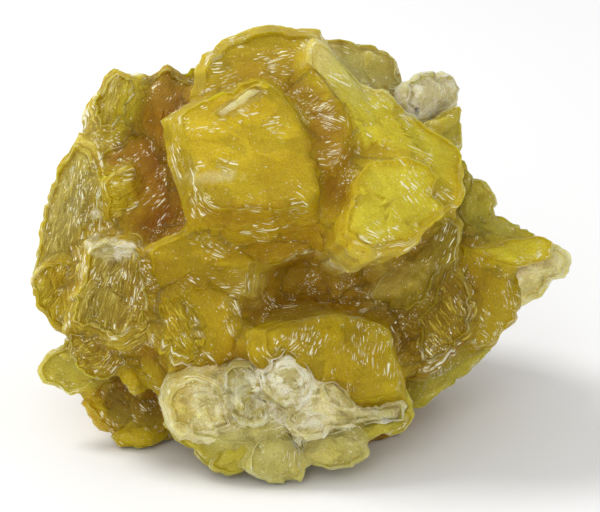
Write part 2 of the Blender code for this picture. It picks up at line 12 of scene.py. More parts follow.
import bpy
import numpy as np
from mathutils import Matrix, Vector

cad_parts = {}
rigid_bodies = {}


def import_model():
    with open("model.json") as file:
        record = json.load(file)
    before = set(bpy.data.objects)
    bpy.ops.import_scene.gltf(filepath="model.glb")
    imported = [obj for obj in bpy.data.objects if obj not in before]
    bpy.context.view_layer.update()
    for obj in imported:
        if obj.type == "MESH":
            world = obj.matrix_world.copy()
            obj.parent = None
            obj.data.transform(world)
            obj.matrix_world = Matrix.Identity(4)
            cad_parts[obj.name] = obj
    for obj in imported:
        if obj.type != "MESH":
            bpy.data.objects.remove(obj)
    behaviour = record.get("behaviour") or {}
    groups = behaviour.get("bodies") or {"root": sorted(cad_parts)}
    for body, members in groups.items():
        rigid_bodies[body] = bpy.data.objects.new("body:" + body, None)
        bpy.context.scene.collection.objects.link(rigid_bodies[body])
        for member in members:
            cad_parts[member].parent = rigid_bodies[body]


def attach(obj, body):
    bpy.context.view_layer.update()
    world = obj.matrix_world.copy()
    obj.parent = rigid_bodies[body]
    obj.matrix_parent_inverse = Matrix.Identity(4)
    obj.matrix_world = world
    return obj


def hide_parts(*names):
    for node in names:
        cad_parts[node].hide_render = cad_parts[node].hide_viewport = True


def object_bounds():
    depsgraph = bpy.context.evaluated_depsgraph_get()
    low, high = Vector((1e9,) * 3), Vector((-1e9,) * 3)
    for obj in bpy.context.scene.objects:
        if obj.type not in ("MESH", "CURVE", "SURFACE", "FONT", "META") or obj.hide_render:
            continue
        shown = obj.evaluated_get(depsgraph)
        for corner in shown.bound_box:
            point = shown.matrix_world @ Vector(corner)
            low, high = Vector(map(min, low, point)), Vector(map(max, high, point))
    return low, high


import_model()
cad_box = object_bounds()

MM = 0.001

# The view that the front is laid out in, the same as in the solids
LOOK_DOWN = math.radians(20.0)
VIEW_DISTANCE = 333.0
VIEW_WIDTH = 60.0
SENSOR_WIDTH = 36.0
REST_HEIGHT = 18.0

# The lump that the books grew on
HEART = np.array((0.0, -1.0, -9.0))
CORE_RADII = np.array((20.0, 16.5, 11.0))
CORE_CENTRE = np.array((-1.0, -0.5, -11.5))
CORE_RELIEF = 0.45

# How a book is cut: its face, and for a high face a ledge under it, whose lip and floor are given as shares
# of the way out to the outline and of the rise, with the share of the face's shift that each keeps
LEDGE_SPREAD = 0.55
LEDGE_DROP = 0.45
LEDGE_MIN_RISE = 1.2
LIP_SPREAD = 0.45
LIP_RISE = 0.15
LIP_SHIFT = 0.8
FLOOR_DROP = 0.1
FLOOR_SHIFT = 0.5

# Where a book's root lies between the heart and the book, and how wide it is against the outline
ROOT_REACH = 0.35
ROOT_SHARE = 1.12
OVERHANG_ROOT_SHARE = 0.8
OVERHANGS = ("main_book", "right_plate", "bright_lobe", "wing_tip")
LOOSE_ROOT_SHARE = 0.85

# The hidden side: books spread evenly over an egg shape, where it faces away from the viewer
SPREAD_COUNT = 62
BACK_CENTRE = np.array((-1.0, -0.5, -9.0))
BACK_REACH = np.array((18.6, 15.8, 13.0))
BACK_LIMIT = -0.15
BACK_SPREAD = (0.92, 1.04)
BACK_TIP = 0.3
BACK_RADIUS = (4.6, 6.8)
BACK_RISE = (1.0, 2.4)
BACK_SEED = 7
GOLDEN_ANGLE = math.pi * (3.0 - math.sqrt(5.0))

# The outline of a loose book: corners, how far one strays as a share of a side, spokes, and breadth
LOOSE_CORNERS = 7
CORNER_STRAY = 0.22
SPOKE_SPREAD = (0.86, 1.1)
LOOSE_BREADTH = 0.82
LOOSE_FACE_SHARE = (0.66, 0.82)

BASE_CENTRE = np.array((-1.0, -15.4, -9.6))
BASE_RADIUS = 13.0
BASE_RISE = 1.6
FLOOR_CUTTER = 90.0

# How finely the skin is cut, front and back, the fewest and most stations of an outline, the points to a
# side of it, and how far the spline bends it away from straight sides
FRONT_PITCH = 0.48
BACK_PITCH = 1.0
STATIONS = (28, 160)
SIDE_POINTS = 12
SPLINE_SHARE = 0.3
FACE_ROWS = (5, 26)
ROW_SHARE = 0.9
CORE_GRID = (44, 84)

# How deep below its outline a book shows plates, as a share of its depth and at most, how much thicker they
# are there, the lip of a plate as a share of it, and the heights of a deep and of a shallow root
SEEN_SHARE = 0.6
SEEN_MOST = 5.0
LOW_PLATE = 1.4
PLATE_LIP = 0.1
DEEP_ROOT = 1.0
ROOT_STEPS = np.array((0.62, 0.8, 1.0))
SHALLOW_STEPS = np.array((0.9, 1.0))

# Broken facets: size of a cell, its tilt and its level, on the outline, on the walls and on the face, how
# far the walls may stand back and out, and how much longer their cells are along a book's height
JOG_CELLS = (1.1, 0.25, 1.0)
WALL_CELLS = (2.3, 0.12, 0.16)
FACE_CELLS = (1.7, 0.09, 0.09)
WALL_RANGE = (-0.7, 0.25)
WALL_STRETCH = np.array((1.0, 1.0, 0.6))
FACE_STRETCH = 0.6
CELL_TINT = 0.09

# The relief of a face: waves and their length, broken plates, growth steps and what a pale scale adds to
# them, the dome as a share of the radius, and the rounding of the edge, with where it starts
WAVE_RISE = 0.12
WAVE_LENGTH = 4.0
TERRACE_RISE = 0.13
GROWTH_RISE = 0.10
PALE_GROWTH = 0.04
DOME_SHARE = 0.035
EDGE_ROUNDING = 0.06
EDGE_START = 0.92

# Where the random numbers of each kind start; a book's number is added
SEEDS = {"plates": 1000, "outline": 5, "walls": 17, "face": 23, "waves": 29, "terraces": 31, "growth": 37}
CORE_SEED = 3
PATCH_SEED = 43

# The grid that measures how much skin is near: its cell and its margin
CELL = 0.3
FIELD_MARGIN = 6.0

# How far from the sides of the solids' box the skin starts to be drawn in
SOFT_EDGE = 0.5
SHARP_ANGLE = math.radians(38.0)

# How the grooves between the books are filled: grid, radius of the ball for the waxy books and for the
# pale crisp ones, and how far below it
FILL_PITCH = 0.46
FILL_RADIUS = 1.0
CRISP_RADIUS = 0.6
FILL_SINK = 0.12

# How far around it the filler looks for its colour, the share of the dashes that it keeps, and the size of
# the patches in which its grain turns; a book at least this pale is crisp
TONE_REACH = 1.2
FILL_GLINT = 0.8
FILL_PATCH = 5.0
CRISP_PALE = 0.45

# Edges and creases: the reach of the running mean and the step in front of and behind the skin
EDGE_REACH = 0.45
EDGE_STEP = 0.5
CREASE_REACH = 1.8
CREASE_STEP = 2.2
EDGE_MOST = 1.5

# The patches of colour: depth at which they end and over which they fade, how ragged their rims are, how long
# the rags, and how steeply a chalky and a waxy one fade
PATCH_DEPTH = 6.0
PATCH_FADE = 3.0
PATCH_RAG = 0.25
RAG_LENGTH = 1.2
CHALK_PALE = 0.6
CHALK_FADE = 3.5
WAXY_FADE = 1.2

# Grain: how far a patch of it turns, how many plates there are to a millimetre, and the scales along and
# across of its streaks, dashes and flakes
PATCH_TURN = 0.9
PLATE_SCALES = (1.7, 4.2)
STREAK_SCALES = (0.7, 5.4, 0.3)
DASH_SCALES = ((0.25, 3.3), (0.40, 4.8), (0.62, 6.5))
FLAKE_SCALES = (0.5, 1.2, 1.6)

# How high the bump stands and how far light goes in, in millimetres
BUMP_DEPTH = 0.16
LIGHT_REACH = 3.0

# The floor and the lights, in metres and watts
FLOOR_HALF = 1.5
WORLD_STRENGTH = 0.66
KEY_PLACE = (-0.30, 0.10, 0.42)
KEY_SIZE = 0.16
KEY_POWER = 1.4
FILL_PLACE = (-0.10, -0.45, 0.30)
FILL_SIZE = 0.25
FILL_POWER = 0.6

# Linear tints that the marks on the mica mix in or multiply by
TINTS = {
    "cloud": (0.82, 0.71, 0.30, 1.0),
    "light_cloud": (1.20, 1.26, 1.30, 1.0),
    # painted shade: the deeper amber that creases are multiplied by
    "deep": (0.80, 0.61, 0.10, 1.0),
    # painted light: the paler lemon of edges that stand out, a glow as of light through thin mica
    "thin": (0.66, 0.56, 0.02, 1.0),
    "stain": (0.50, 0.42, 0.07, 1.0),
    "dark_streak": (0.66, 0.54, 0.30, 1.0),
    "light_streak": (0.90, 0.76, 0.10, 1.0),
    "pale_streak": (0.97, 0.92, 0.66, 1.0),
    "sugar": (0.70, 0.62, 0.40, 1.0),
    # partly the pale of frayed plate edges, partly painted highlight on edges
    "chalk_and_sheen": (0.84, 0.78, 0.44, 1.0),
    # painted glints: the near-white of the thin dashes
    "painted_glint": (1.0, 0.96, 0.70, 1.0),
    "speck": (0.98, 0.93, 0.60, 1.0),
}

# Linear colours of the mica, from the thin lit edges to the thick shaded middle
TONES = {
    "lemon": (0.66, 0.49, 0.012),
    "bright": (0.74, 0.64, 0.035),
    "gold": (0.47, 0.335, 0.002),
    "amber": (0.41, 0.215, 0.001),
    "umber": (0.34, 0.22, 0.006),
    "bark": (0.25, 0.15, 0.003),
    "loam": (0.215, 0.115, 0.002),
    "cavern": (0.56, 0.44, 0.10),
    "olive": (0.31, 0.22, 0.005),
    "khaki": (0.34, 0.25, 0.02),
    "green": (0.51, 0.44, 0.05),
    "straw": (0.68, 0.63, 0.24),
    "pale": (0.93, 0.86, 0.50),
    "ash": (0.94, 0.91, 0.74),
    "silver": (0.68, 0.65, 0.40),
    "white": (0.92, 0.90, 0.75),
}

# A look: tone of the face and of the walls, share of glints, depth of the ledges between plates, how
# much each plate stands square, thickness of the plates, raggedness of the outline, relief, paleness
Look = namedtuple("Look", "face wall glint ledge step plate rag relief pale")
LOOKS = {
    "smooth_lemon": Look("lemon", "gold", 0.35, 0.03, 0.2, 0.70, 0.06, 0.6, 0.0),
    "smooth_amber": Look("gold", "gold", 0.30, 0.04, 0.25, 0.70, 0.07, 0.7, 0.0),
    "deep_amber": Look("amber", "umber", 0.20, 0.05, 0.3, 0.70, 0.08, 0.8, 0.0),
    "bright_plate": Look("bright", "lemon", 0.20, 0.10, 0.4, 0.50, 0.12, 0.8, 0.1),
    "ribbed": Look("gold", "gold", 0.95, 0.12, 0.5, 0.45, 0.12, 1.0, 0.0),
    "pale_ribbed": Look("khaki", "gold", 0.95, 0.12, 0.5, 0.45, 0.12, 1.0, 0.25),
    "brown_ribbed": Look("umber", "umber", 0.9, 0.12, 0.5, 0.45, 0.12, 1.0, 0.0),
    "dark_ribbed": Look("umber", "umber", 0.9, 0.12, 0.5, 0.45, 0.12, 1.2, 0.0),
    "olive_plain": Look("olive", "olive", 0.3, 0.08, 0.4, 0.60, 0.12, 1.0, 0.05),
    "green_plain": Look("green", "green", 0.12, 0.06, 0.3, 0.60, 0.12, 0.8, 0.15),
    "brown_plain": Look("bark", "amber", 0.25, 0.10, 0.4, 0.60, 0.12, 1.2, 0.0),
    "pale_scale": Look("pale", "pale", 0.45, 0.05, 0.3, 0.45, 0.09, 1.1, 0.7),
    "ash_scale": Look("ash", "ash", 0.35, 0.05, 0.3, 0.45, 0.07, 0.9, 0.9),
    "silver_scale": Look("silver", "silver", 0.60, 0.06, 0.3, 0.40, 0.10, 1.4, 1.0),
    "glassy": Look("white", "white", 0.40, 0.06, 0.4, 0.50, 0.10, 1.3, 0.5),
    "ridge": Look("pale", "lemon", 0.40, 0.03, 0.2, 0.70, 0.08, 0.8, 0.3),
    "straw_flake": Look("straw", "straw", 0.30, 0.08, 0.4, 0.40, 0.12, 1.1, 0.4),
    "pale_flake": Look("pale", "pale", 0.35, 0.08, 0.4, 0.40, 0.13, 1.1, 0.5),
    "brown_olive": Look("loam", "loam", 0.40, 0.10, 0.4, 0.50, 0.12, 1.0, 0.0),
}

# Each book: name, depth of its outline plane, lean of that plane along u and v, share of the outline
# that its face takes, rise of the face, shift of the face, look, angle of its grain, outline.
Book = namedtuple("Book", "name depth lean share rise shift look grain outline")
BOOKS = [Book(*row) for row in [
    # The crown and the big book that faces the viewer
    ("crown", 7.2, (-0.05, -0.5), 0.86, 1.0, (0.0, -0.6), "smooth_amber", 10,
     [(-10.6, 18.4), (-9.7, 20.0), (-8.4, 21.2), (-7.4, 22.0), (-5.7, 22.5), (-4.4, 23.0), (-3.0, 23.3),
      (-1.4, 22.9), (0.4, 22.8), (1.8, 22.7), (3.0, 20.6), (5.2, 15.6), (5.5, 10.6), (3.5, 8.1),
      (-1.0, 8.6), (-6.0, 13.6), (-9.5, 14.6), (-10.8, 16.1)]),
    ("main_book", 9.0, (-0.05, -0.12), 0.76, 4.2, (0.0, 0.8), "smooth_lemon", -6,
     [(-13.9, 13.6), (-11.8, 14.8), (-9.5, 16.1), (-5.7, 17.7), (-3.6, 17.9), (-1.4, 16.6), (0.6, 14.1),
      (2.4, 10.6), (3.2, 7.1), (3.5, 4.1), (2.5, 2.3), (-0.2, 1.6), (-3.8, 1.3), (-7.2, 1.6),
      (-10.0, 2.0), (-11.2, 3.0), (-12.0, 5.1), (-12.4, 6.6), (-13.0, 8.6), (-13.5, 11.1)]),
    ("face_crest", 12.2, (-0.05, -0.12), 0.7, 0.5, (0.0, 0.0), "ridge", 40,
     [(-9.5, 13.8), (-8.0, 14.8), (-6.0, 16.1), (-4.5, 17.3), (-3.7, 17.4), (-2.8, 16.9), (-3.8, 16.2),
      (-5.2, 15.2), (-6.8, 14.2), (-8.5, 13.3)]),
    ("valley_book", 9.4, (-0.3, -0.05), 0.9, 0.4, (0.0, 0.0), "smooth_amber", 60,
     [(1.8, 11.6), (5.2, 12.1), (6.0, 9.1), (4.5, 6.6), (4.4, 4.1), (3.6, 1.3), (1.8, 1.6), (1.0, 5.6)]),
    # The plate and the bright lobe on the right
    ("right_plate", 7.6, (-0.42, -0.22), 0.93, 0.6, (-0.2, -0.2), "bright_plate", -35,
     [(0.6, 20.8), (1.1, 22.0), (2.3, 21.5), (4.1, 19.4), (6.3, 17.1), (8.4, 16.5), (10.1, 15.1),
      (12.5, 12.9), (14.8, 11.7), (16.2, 10.6), (16.3, 8.6), (16.6, 6.4), (15.9, 5.2), (14.0, 4.0),
      (12.5, 3.4), (10.0, 4.1), (7.5, 6.6), (5.7, 9.1), (5.0, 12.1), (3.8, 15.6), (2.0, 18.1),
      (0.8, 19.4)]),
    ("bright_lobe", 11.0, (-0.14, -0.22), 0.84, 1.5, (0.5, 0.4), "bright_plate", -50,
     [(5.7, 9.1), (7.2, 9.6), (10.0, 9.8), (12.8, 9.1), (13.5, 7.6), (13.0, 5.6), (14.0, 4.0), (12.1, 2.6),
      (11.7, 1.3), (10.4, 0.5), (8.0, -0.1), (6.2, -0.6), (4.7, 0.4), (3.5, 1.3), (3.6, 3.1),
      (4.2, 5.1), (4.3, 7.0)]),
    # Behind the plate, on the skyline
    ("olive_knob", 0.5, (-0.35, -0.3), 0.85, 0.8, (0.0, 0.0), "olive_plain", -20,
     [(2.0, 21.8), (4.5, 21.5), (7.6, 20.9), (8.8, 20.2), (9.6, 19.3), (10.2, 18.0), (10.3, 16.7),
      (9.6, 15.5), (8.0, 14.0), (4.5, 15.5), (2.2, 19.0)]),
    ("pale_crest", 0.3, (-0.3, -0.2), 0.8, 1.0, (0.3, 0.2), "glassy", 60,
     [(9.8, 17.0), (10.8, 17.7), (12.2, 18.0), (13.7, 18.3), (15.0, 18.0), (15.6, 17.0), (15.6, 15.1),
      (14.6, 14.4), (13.2, 13.2), (11.0, 13.0), (9.8, 14.6)]),
    ("pale_wedge", 1.6, (-0.6, 0.1), 0.8, 0.8, (-0.4, 0.4), "green_plain", 20,
     [(12.4, 13.2), (14.6, 14.3), (16.0, 15.0), (16.4, 14.1), (16.1, 12.3), (16.4, 11.4), (16.2, 10.4),
      (14.0, 10.2), (12.5, 11.4)]),
    ("edge_plate", -0.5, (-0.3, 0.0), 0.85, 0.4, (0.0, 0.0), "green_plain", 70,
     [(15.5, 10.6), (16.4, 9.8), (17.3, 7.8), (17.2, 6.1), (15.8, 5.2), (14.6, 8.1)]),
    ("side_disc", -1.8, (-0.35, -0.1), 0.8, 0.8, (-0.2, 0.0), "green_plain", 50,
     [(16.2, 6.8), (17.2, 7.6), (18.4, 7.3), (19.4, 6.3), (19.8, 5.3), (19.6, 4.1), (18.4, 3.2),
      (16.8, 3.0), (15.6, 4.2)]),
    # The wing that points to the right
    ("wing_roof", -2.0, (-0.2, -0.75), 0.9, 0.4, (0.0, 0.0), "green_plain", -20,
     [(16.8, 3.6), (19.6, 4.1), (22.0, 2.8), (24.6, 1.6), (24.7, 0.4), (20.0, -0.8), (17.0, -0.8),
      (15.6, 1.6)]),
    ("wing_band", 0.6, (-0.34, -0.15), 0.86, 0.5, (0.0, 0.0), "bright_plate", 8,
     [(17.6, 0.7), (20.5, 1.2), (23.8, 1.9), (25.0, 1.3), (24.7, -0.2), (22.0, -1.0), (19.2, -0.6),
      (17.9, 0.2)]),
    ("wing_tip", -2.4, (-0.3, 0.1), 0.82, 0.7, (-0.3, 0.2), "pale_flake", 35,
     [(24.3, 1.8), (26.0, 1.0), (27.1, 0.0), (27.3, -1.0), (26.7, -2.1), (25.6, -2.3), (24.6, -3.7),
      (23.0, -4.7), (22.0, -5.3), (21.0, -3.9), (21.0, -1.4), (22.6, 0.4)]),
    ("wing_amber", -0.6, (-0.5, 0.12), 0.88, 0.8, (-0.2, 0.3), "smooth_amber", -65,
     [(16.2, 1.1), (17.8, 0.4), (19.3, -0.6), (21.4, -1.2), (21.9, -2.9), (22.3, -5.0), (21.6, -6.6),
      (20.0, -7.9), (19.4, -9.1), (17.8, -9.6), (16.2, -8.9), (16.0, -5.6), (15.8, -2.0)]),
    ("hem_plate", -1.2, (-0.3, 0.35), 0.85, 0.4, (0.0, 0.0), "green_plain", 35,
     [(11.3, -15.2), (11.8, -12.6), (15.3, -10.8), (18.0, -9.2), (19.5, -8.9), (18.7, -9.7), (17.8, -10.7),
      (16.6, -12.2), (14.8, -13.0), (13.0, -14.4), (12.4, -15.0)]),
    ("dark_fan", 2.2, (-0.3, 0.12), 0.7, 1.6, (-0.2, 0.6), "dark_ribbed", -62,
     [(14.0, -1.2), (15.2, -0.2), (16.4, -1.4), (17.2, -3.4), (17.7, -5.6), (16.7, -8.9), (15.8, -10.0),
      (14.0, -11.6), (12.2, -12.6), (11.4, -12.2), (11.2, -9.4), (10.8, -7.4), (11.4, -5.6),
      (12.8, -4.4)]),
    ("olive_leaf", 4.4, (-0.1, 0.1), 0.82, 1.2, (0.0, 0.0), "olive_plain", 45,
     [(6.2, -4.4), (8.0, -0.9), (10.5, 1.2), (12.5, 3.4), (15.2, 4.8), (16.2, 3.1), (15.8, -0.2),
      (14.1, -1.2), (13.0, -4.2), (10.8, -5.7), (8.8, -5.8), (6.6, -5.0)]),
    # The shaded hollow and the broad book below it
    ("hollow_wall", 1.0, (0.0, -0.1), 0.9, 0.3, (0.0, 0.0), "dark_ribbed", 70,
     [(-5.5, -4.4), (-3.8, -1.0), (0.0, 1.2), (4.5, 1.6), (8.5, 0.0), (8.5, -5.0), (3.0, -6.4),
      (-3.0, -7.0)]),
    ("lap_top", 5.4, (0.0, -0.55), 0.86, 0.7, (0.3, -0.2), "brown_olive", 25,
     [(-6.4, -5.6), (-3.8, -5.0), (-1.4, -5.3), (0.0, -4.2), (2.2, -3.2), (4.5, -4.2), (6.2, -4.4),
      (9.4, -6.6), (9.6, -8.9), (7.0, -10.2), (3.5, -10.4), (0.0, -11.0), (-3.8, -11.0), (-6.2, -9.5)]),
    ("lap_front", 7.6, (-0.2, -0.2), 0.8, 1.6, (0.3, 0.3), "smooth_amber", 65,
     [(-5.6, -7.6), (-2.0, -6.2), (2.0, -5.6), (6.0, -6.0), (9.3, -7.2), (9.6, -9.6), (10.2, -12.2),
      (10.9, -14.8), (8.5, -15.6), (5.2, -16.0), (3.0, -14.9), (0.0, -13.2), (-4.4, -11.6)]),
    # The pale crust at the foot
    ("pale_rosette", 8.6, (0.22, 0.1), 0.6, 1.8, (0.3, 0.2), "pale_scale", 20,
     [(-13.9, -13.6), (-13.4, -12.1), (-11.0, -11.0), (-8.6, -11.5), (-7.2, -13.0), (-6.6, -15.2),
      (-5.7, -17.5), (-7.8, -18.4), (-10.5, -19.1), (-12.2, -18.4), (-13.8, -16.8)]),
    ("silver_disc", 9.9, (-0.1, -0.25), 0.78, 0.8, (0.0, 0.2), "silver_scale", 80,
     [(-8.1, -12.9), (-7.0, -11.4), (-5.2, -10.8), (-4.0, -11.6), (-3.4, -14.4), (-3.6, -16.8),
      (-5.7, -17.6), (-7.0, -16.6), (-7.8, -14.7)]),
    ("grey_disc", 10.2, (-0.15, -0.3), 0.8, 0.8, (0.0, 0.2), "ash_scale", 35,
     [(-4.1, -11.6), (-3.4, -10.1), (-1.6, -9.5), (0.0, -10.1), (1.3, -11.5), (1.7, -13.0), (1.0, -14.4),
      (-0.8, -15.2), (-2.6, -14.7), (-3.8, -13.4)]),
    ("pale_shell", 9.9, (-0.3, -0.2), 0.75, 0.8, (0.0, 0.2), "pale_scale", -50,
     [(1.6, -12.8), (3.0, -12.2), (4.5, -13.6), (5.6, -15.6), (3.8, -15.6), (2.0, -14.6)]),
    ("pale_fan", 9.9, (-0.15, -0.1), 0.78, 0.7, (-0.3, 0.2), "pale_scale", -10,
     [(-1.4, -15.2), (1.6, -14.3), (3.5, -14.8), (5.5, -15.8), (7.4, -16.4), (4.5, -17.4), (1.8, -18.6),
      (0.0, -18.2), (-1.2, -16.9)]),
    ("edge_strip", 8.8, (-0.15, -0.2), 0.86, 0.5, (0.0, 0.1), "pale_scale", 10,
     [(4.5, -16.4), (6.5, -15.6), (8.8, -15.0), (10.5, -14.8), (10.7, -16.4), (8.5, -16.8), (6.5, -17.0)]),
    ("right_toe", 7.6, (-0.1, 0.2), 0.82, 0.6, (0.0, 0.0), "green_plain", 20,
     [(4.5, -17.4), (7.0, -16.4), (10.4, -15.8), (11.2, -14.8), (11.6, -16.2), (10.2, -17.4), (9.0, -18.0),
      (7.4, -18.2), (6.2, -18.7)]),
    ("right_lobe", 8.6, (-0.05, 0.12), 0.8, 0.9, (-0.2, 0.2), "straw_flake", -30,
     [(0.3, -19.9), (1.8, -18.0), (4.5, -17.2), (6.2, -18.5), (7.0, -19.7), (6.5, -20.7), (4.5, -21.5),
      (2.8, -21.5), (1.2, -20.8)]),
    ("middle_lobe", 9.4, (0.0, 0.1), 0.8, 0.9, (0.0, 0.2), "straw_flake", 70,
     [(-5.6, -20.0), (-3.8, -18.0), (-1.5, -17.5), (0.0, -19.2), (0.3, -21.0), (-0.1, -22.4), (-1.8, -22.8),
      (-3.8, -22.7), (-5.4, -22.0)]),
    ("left_lobe", 8.6, (0.15, 0.15), 0.8, 0.7, (0.2, 0.2), "green_plain", 40,
     [(-9.4, -21.0), (-7.6, -19.2), (-5.5, -18.2), (-3.8, -18.6), (-5.0, -20.6), (-5.7, -22.0),
      (-7.5, -22.4), (-8.6, -21.8)]),
    ("under_strip", 7.4, (0.2, 0.25), 0.82, 0.5, (0.2, 0.0), "green_plain", -30,
     [(-13.9, -16.8), (-12.0, -17.4), (-10.0, -18.0), (-6.0, -17.4), (-6.8, -19.4), (-9.2, -21.2),
      (-11.0, -19.7), (-12.5, -18.4)]),
    ("white_chip", 10.2, (0.0, -0.1), 0.75, 0.8, (0.0, 0.1), "silver_scale", -60,
     [(-1.8, -17.6), (-1.0, -17.0), (0.2, -17.4), (0.9, -18.5), (0.4, -19.9), (-0.7, -19.4)]),
    ("crust_bed", 9.4, (0.0, -0.12), 0.94, 0.4, (0.0, 0.0), "straw_flake", 0,
     [(-12.0, -14.0), (-7.0, -12.6), (-1.0, -12.0), (3.0, -13.4), (5.6, -15.8), (3.6, -17.8), (0.0, -18.6),
      (-3.6, -18.4), (-7.4, -18.6), (-11.0, -17.6)]),
    # The middle band
    ("belly_left", 8.2, (-0.05, 0.12), 0.8, 1.4, (0.0, 0.3), "smooth_amber", -20,
     [(-16.0, 0.6), (-13.5, 2.0), (-10.5, 2.6), (-6.5, 2.0), (-3.8, -0.6), (-4.8, -4.2), (-6.4, -5.0),
      (-9.5, -3.6), (-12.8, -3.0), (-14.8, -3.8), (-15.6, -1.6)]),
    ("belly_right", 7.8, (0.0, 0.4), 0.82, 0.8, (0.0, 0.2), "smooth_amber", 15,
     [(-7.0, 2.4), (-3.8, 2.2), (0.0, 2.4), (3.7, 2.6), (3.8, 1.0), (0.0, -0.2), (-3.0, -1.2),
      (-5.5, -1.4)]),
    ("ribbed_book", 8.2, (0.1, 0.05), 0.62, 2.0, (0.3, 0.4), "ribbed", -65,
     [(-15.1, -4.4), (-14.0, -3.4), (-12.7, -2.8), (-11.4, -3.6), (-10.0, -5.9), (-8.7, -8.9), (-9.4, -10.6),
      (-11.0, -11.2), (-13.0, -11.6), (-13.8, -10.2), (-14.5, -7.4)]),
    ("lemon_book", 7.8, (-0.2, 0.1), 0.8, 1.4, (0.2, 0.2), "smooth_amber", -65,
     [(-12.5, -2.8), (-9.5, -2.4), (-6.2, -4.2), (-5.6, -7.9), (-6.6, -10.6), (-9.0, -12.0),
      (-11.5, -11.8)]),
    # The left side
    ("cube_book", 6.4, (0.28, -0.08), 0.76, 2.6, (0.9, 0.2), "pale_ribbed", 60,
     [(-21.6, 1.6), (-20.0, 1.9), (-16.3, 1.8), (-15.0, -0.6), (-14.6, -4.4), (-14.6, -7.9), (-17.0, -9.4),
      (-20.0, -9.0), (-23.6, -7.8), (-23.7, -6.4), (-22.8, -3.2), (-22.0, -0.6)]),
    ("brown_under", 5.4, (0.15, 0.6), 0.84, 0.7, (0.0, 0.0), "brown_ribbed", 40,
     [(-23.7, -7.4), (-21.0, -7.4), (-17.0, -8.8), (-17.1, -10.6), (-19.6, -12.3), (-21.6, -11.6),
      (-23.2, -10.0)]),
    ("slat", 4.6, (0.2, 0.1), 0.7, 0.9, (0.0, 0.0), "smooth_amber", -55,
     [(-18.2, -11.6), (-17.6, -10.6), (-16.4, -10.4), (-15.4, -12.9), (-16.1, -13.7), (-17.0, -13.6)]),
    ("under_amber", 5.4, (0.1, 0.1), 0.86, 0.5, (0.0, 0.0), "smooth_amber", -60,
     [(-17.0, -9.0), (-14.6, -7.6), (-12.9, -11.4), (-13.6, -14.8), (-15.0, -13.2), (-16.8, -11.0)]),
    ("green_knob", 0.6, (0.25, 0.0), 0.78, 1.0, (0.2, 0.1), "green_plain", -25,
     [(-26.2, -12.3), (-26.2, -11.3), (-25.4, -9.8), (-23.8, -8.9), (-22.0, -9.6), (-20.0, -12.0),
      (-21.5, -13.6), (-23.0, -13.9), (-24.8, -13.2)]),
    ("brown_foot", -0.2, (0.1, 0.16), 0.78, 1.4, (0.4, 0.4), "brown_plain", -40,
     [(-22.2, -14.6), (-21.4, -13.2), (-19.4, -12.1), (-17.0, -11.2), (-14.8, -12.2), (-13.4, -14.6),
      (-12.6, -17.4), (-13.6, -18.9), (-17.5, -19.2), (-18.8, -18.4), (-19.6, -18.0), (-21.0, -16.4)]),
    ("foot_lobe", 0.4, (0.1, 0.2), 0.75, 1.0, (0.0, 0.1), "smooth_amber", -30,
     [(-19.0, -18.0), (-18.0, -17.0), (-15.5, -16.4), (-14.0, -17.6), (-14.2, -18.8), (-16.0, -19.3),
      (-17.6, -19.3)]),
    ("left_flank", 2.4, (0.75, -0.1), 0.8, 0.9, (0.3, 0.0), "pale_ribbed", 65,
     [(-22.0, 12.2), (-20.4, 11.4), (-19.2, 7.6), (-19.4, 3.8), (-21.0, 1.6), (-22.0, -0.6), (-23.0, -3.4),
      (-24.0, -4.4), (-25.6, -4.4), (-26.8, -4.0), (-27.0, -2.8), (-26.3, 0.6), (-26.1, 2.1),
      (-25.5, 5.1), (-24.8, 7.4), (-23.8, 9.6)]),
    ("left_low", 2.8, (0.4, 0.2), 0.78, 0.9, (0.3, 0.2), "ribbed", 60,
     [(-27.0, -2.7), (-26.2, -0.6), (-23.0, 0.0), (-22.2, -3.2), (-23.0, -6.4), (-23.9, -7.7), (-25.3, -6.7),
      (-26.4, -5.0)]),
    ("left_top_book", 1.2, (0.45, -0.2), 0.55, 3.4, (1.5, 0.1), "pale_ribbed", 62,
     [(-22.0, 12.6), (-21.9, 14.0), (-20.5, 16.3), (-19.2, 18.5), (-18.3, 18.8), (-17.0, 18.3),
      (-15.2, 18.0), (-15.6, 15.8), (-17.0, 12.1), (-19.2, 10.6), (-20.8, 10.6)]),
    ("upper_mid", 2.6, (-0.05, -0.4), 0.78, 1.4, (0.0, -0.3), "deep_amber", 55,
     [(-16.9, 15.8), (-15.2, 18.0), (-14.2, 18.6), (-12.9, 19.1), (-11.9, 17.9), (-10.4, 17.4),
      (-9.8, 15.6), (-11.0, 13.2), (-12.4, 10.6), (-14.2, 9.6), (-16.3, 11.6)]),
    ("saddle", 0.8, (0.0, -0.3), 0.85, 0.3, (0.0, 0.0), "olive_plain", 0,
     [(-12.4, 18.3), (-10.3, 18.6), (-9.6, 16.1), (-12.0, 15.6)]),
    ("amber_fill", 4.6, (0.08, -0.08), 0.84, 1.0, (0.3, 0.0), "deep_amber", 30,
     [(-20.6, 10.8), (-18.2, 11.6), (-16.0, 12.8), (-13.5, 12.1), (-12.2, 7.6), (-11.6, 4.1), (-12.6, 2.1),
      (-15.0, 1.0), (-18.0, 1.0), (-20.6, 1.4), (-20.6, 5.6)]),
    ("comb_book", 5.2, (-0.2, 0.1), 0.66, 1.0, (0.2, 0.4), "ribbed", 15,
     [(-20.0, 7.6), (-18.8, 8.8), (-16.5, 9.4), (-15.6, 5.6), (-15.9, 2.8), (-18.2, 2.4), (-20.0, 2.8)]),
]]

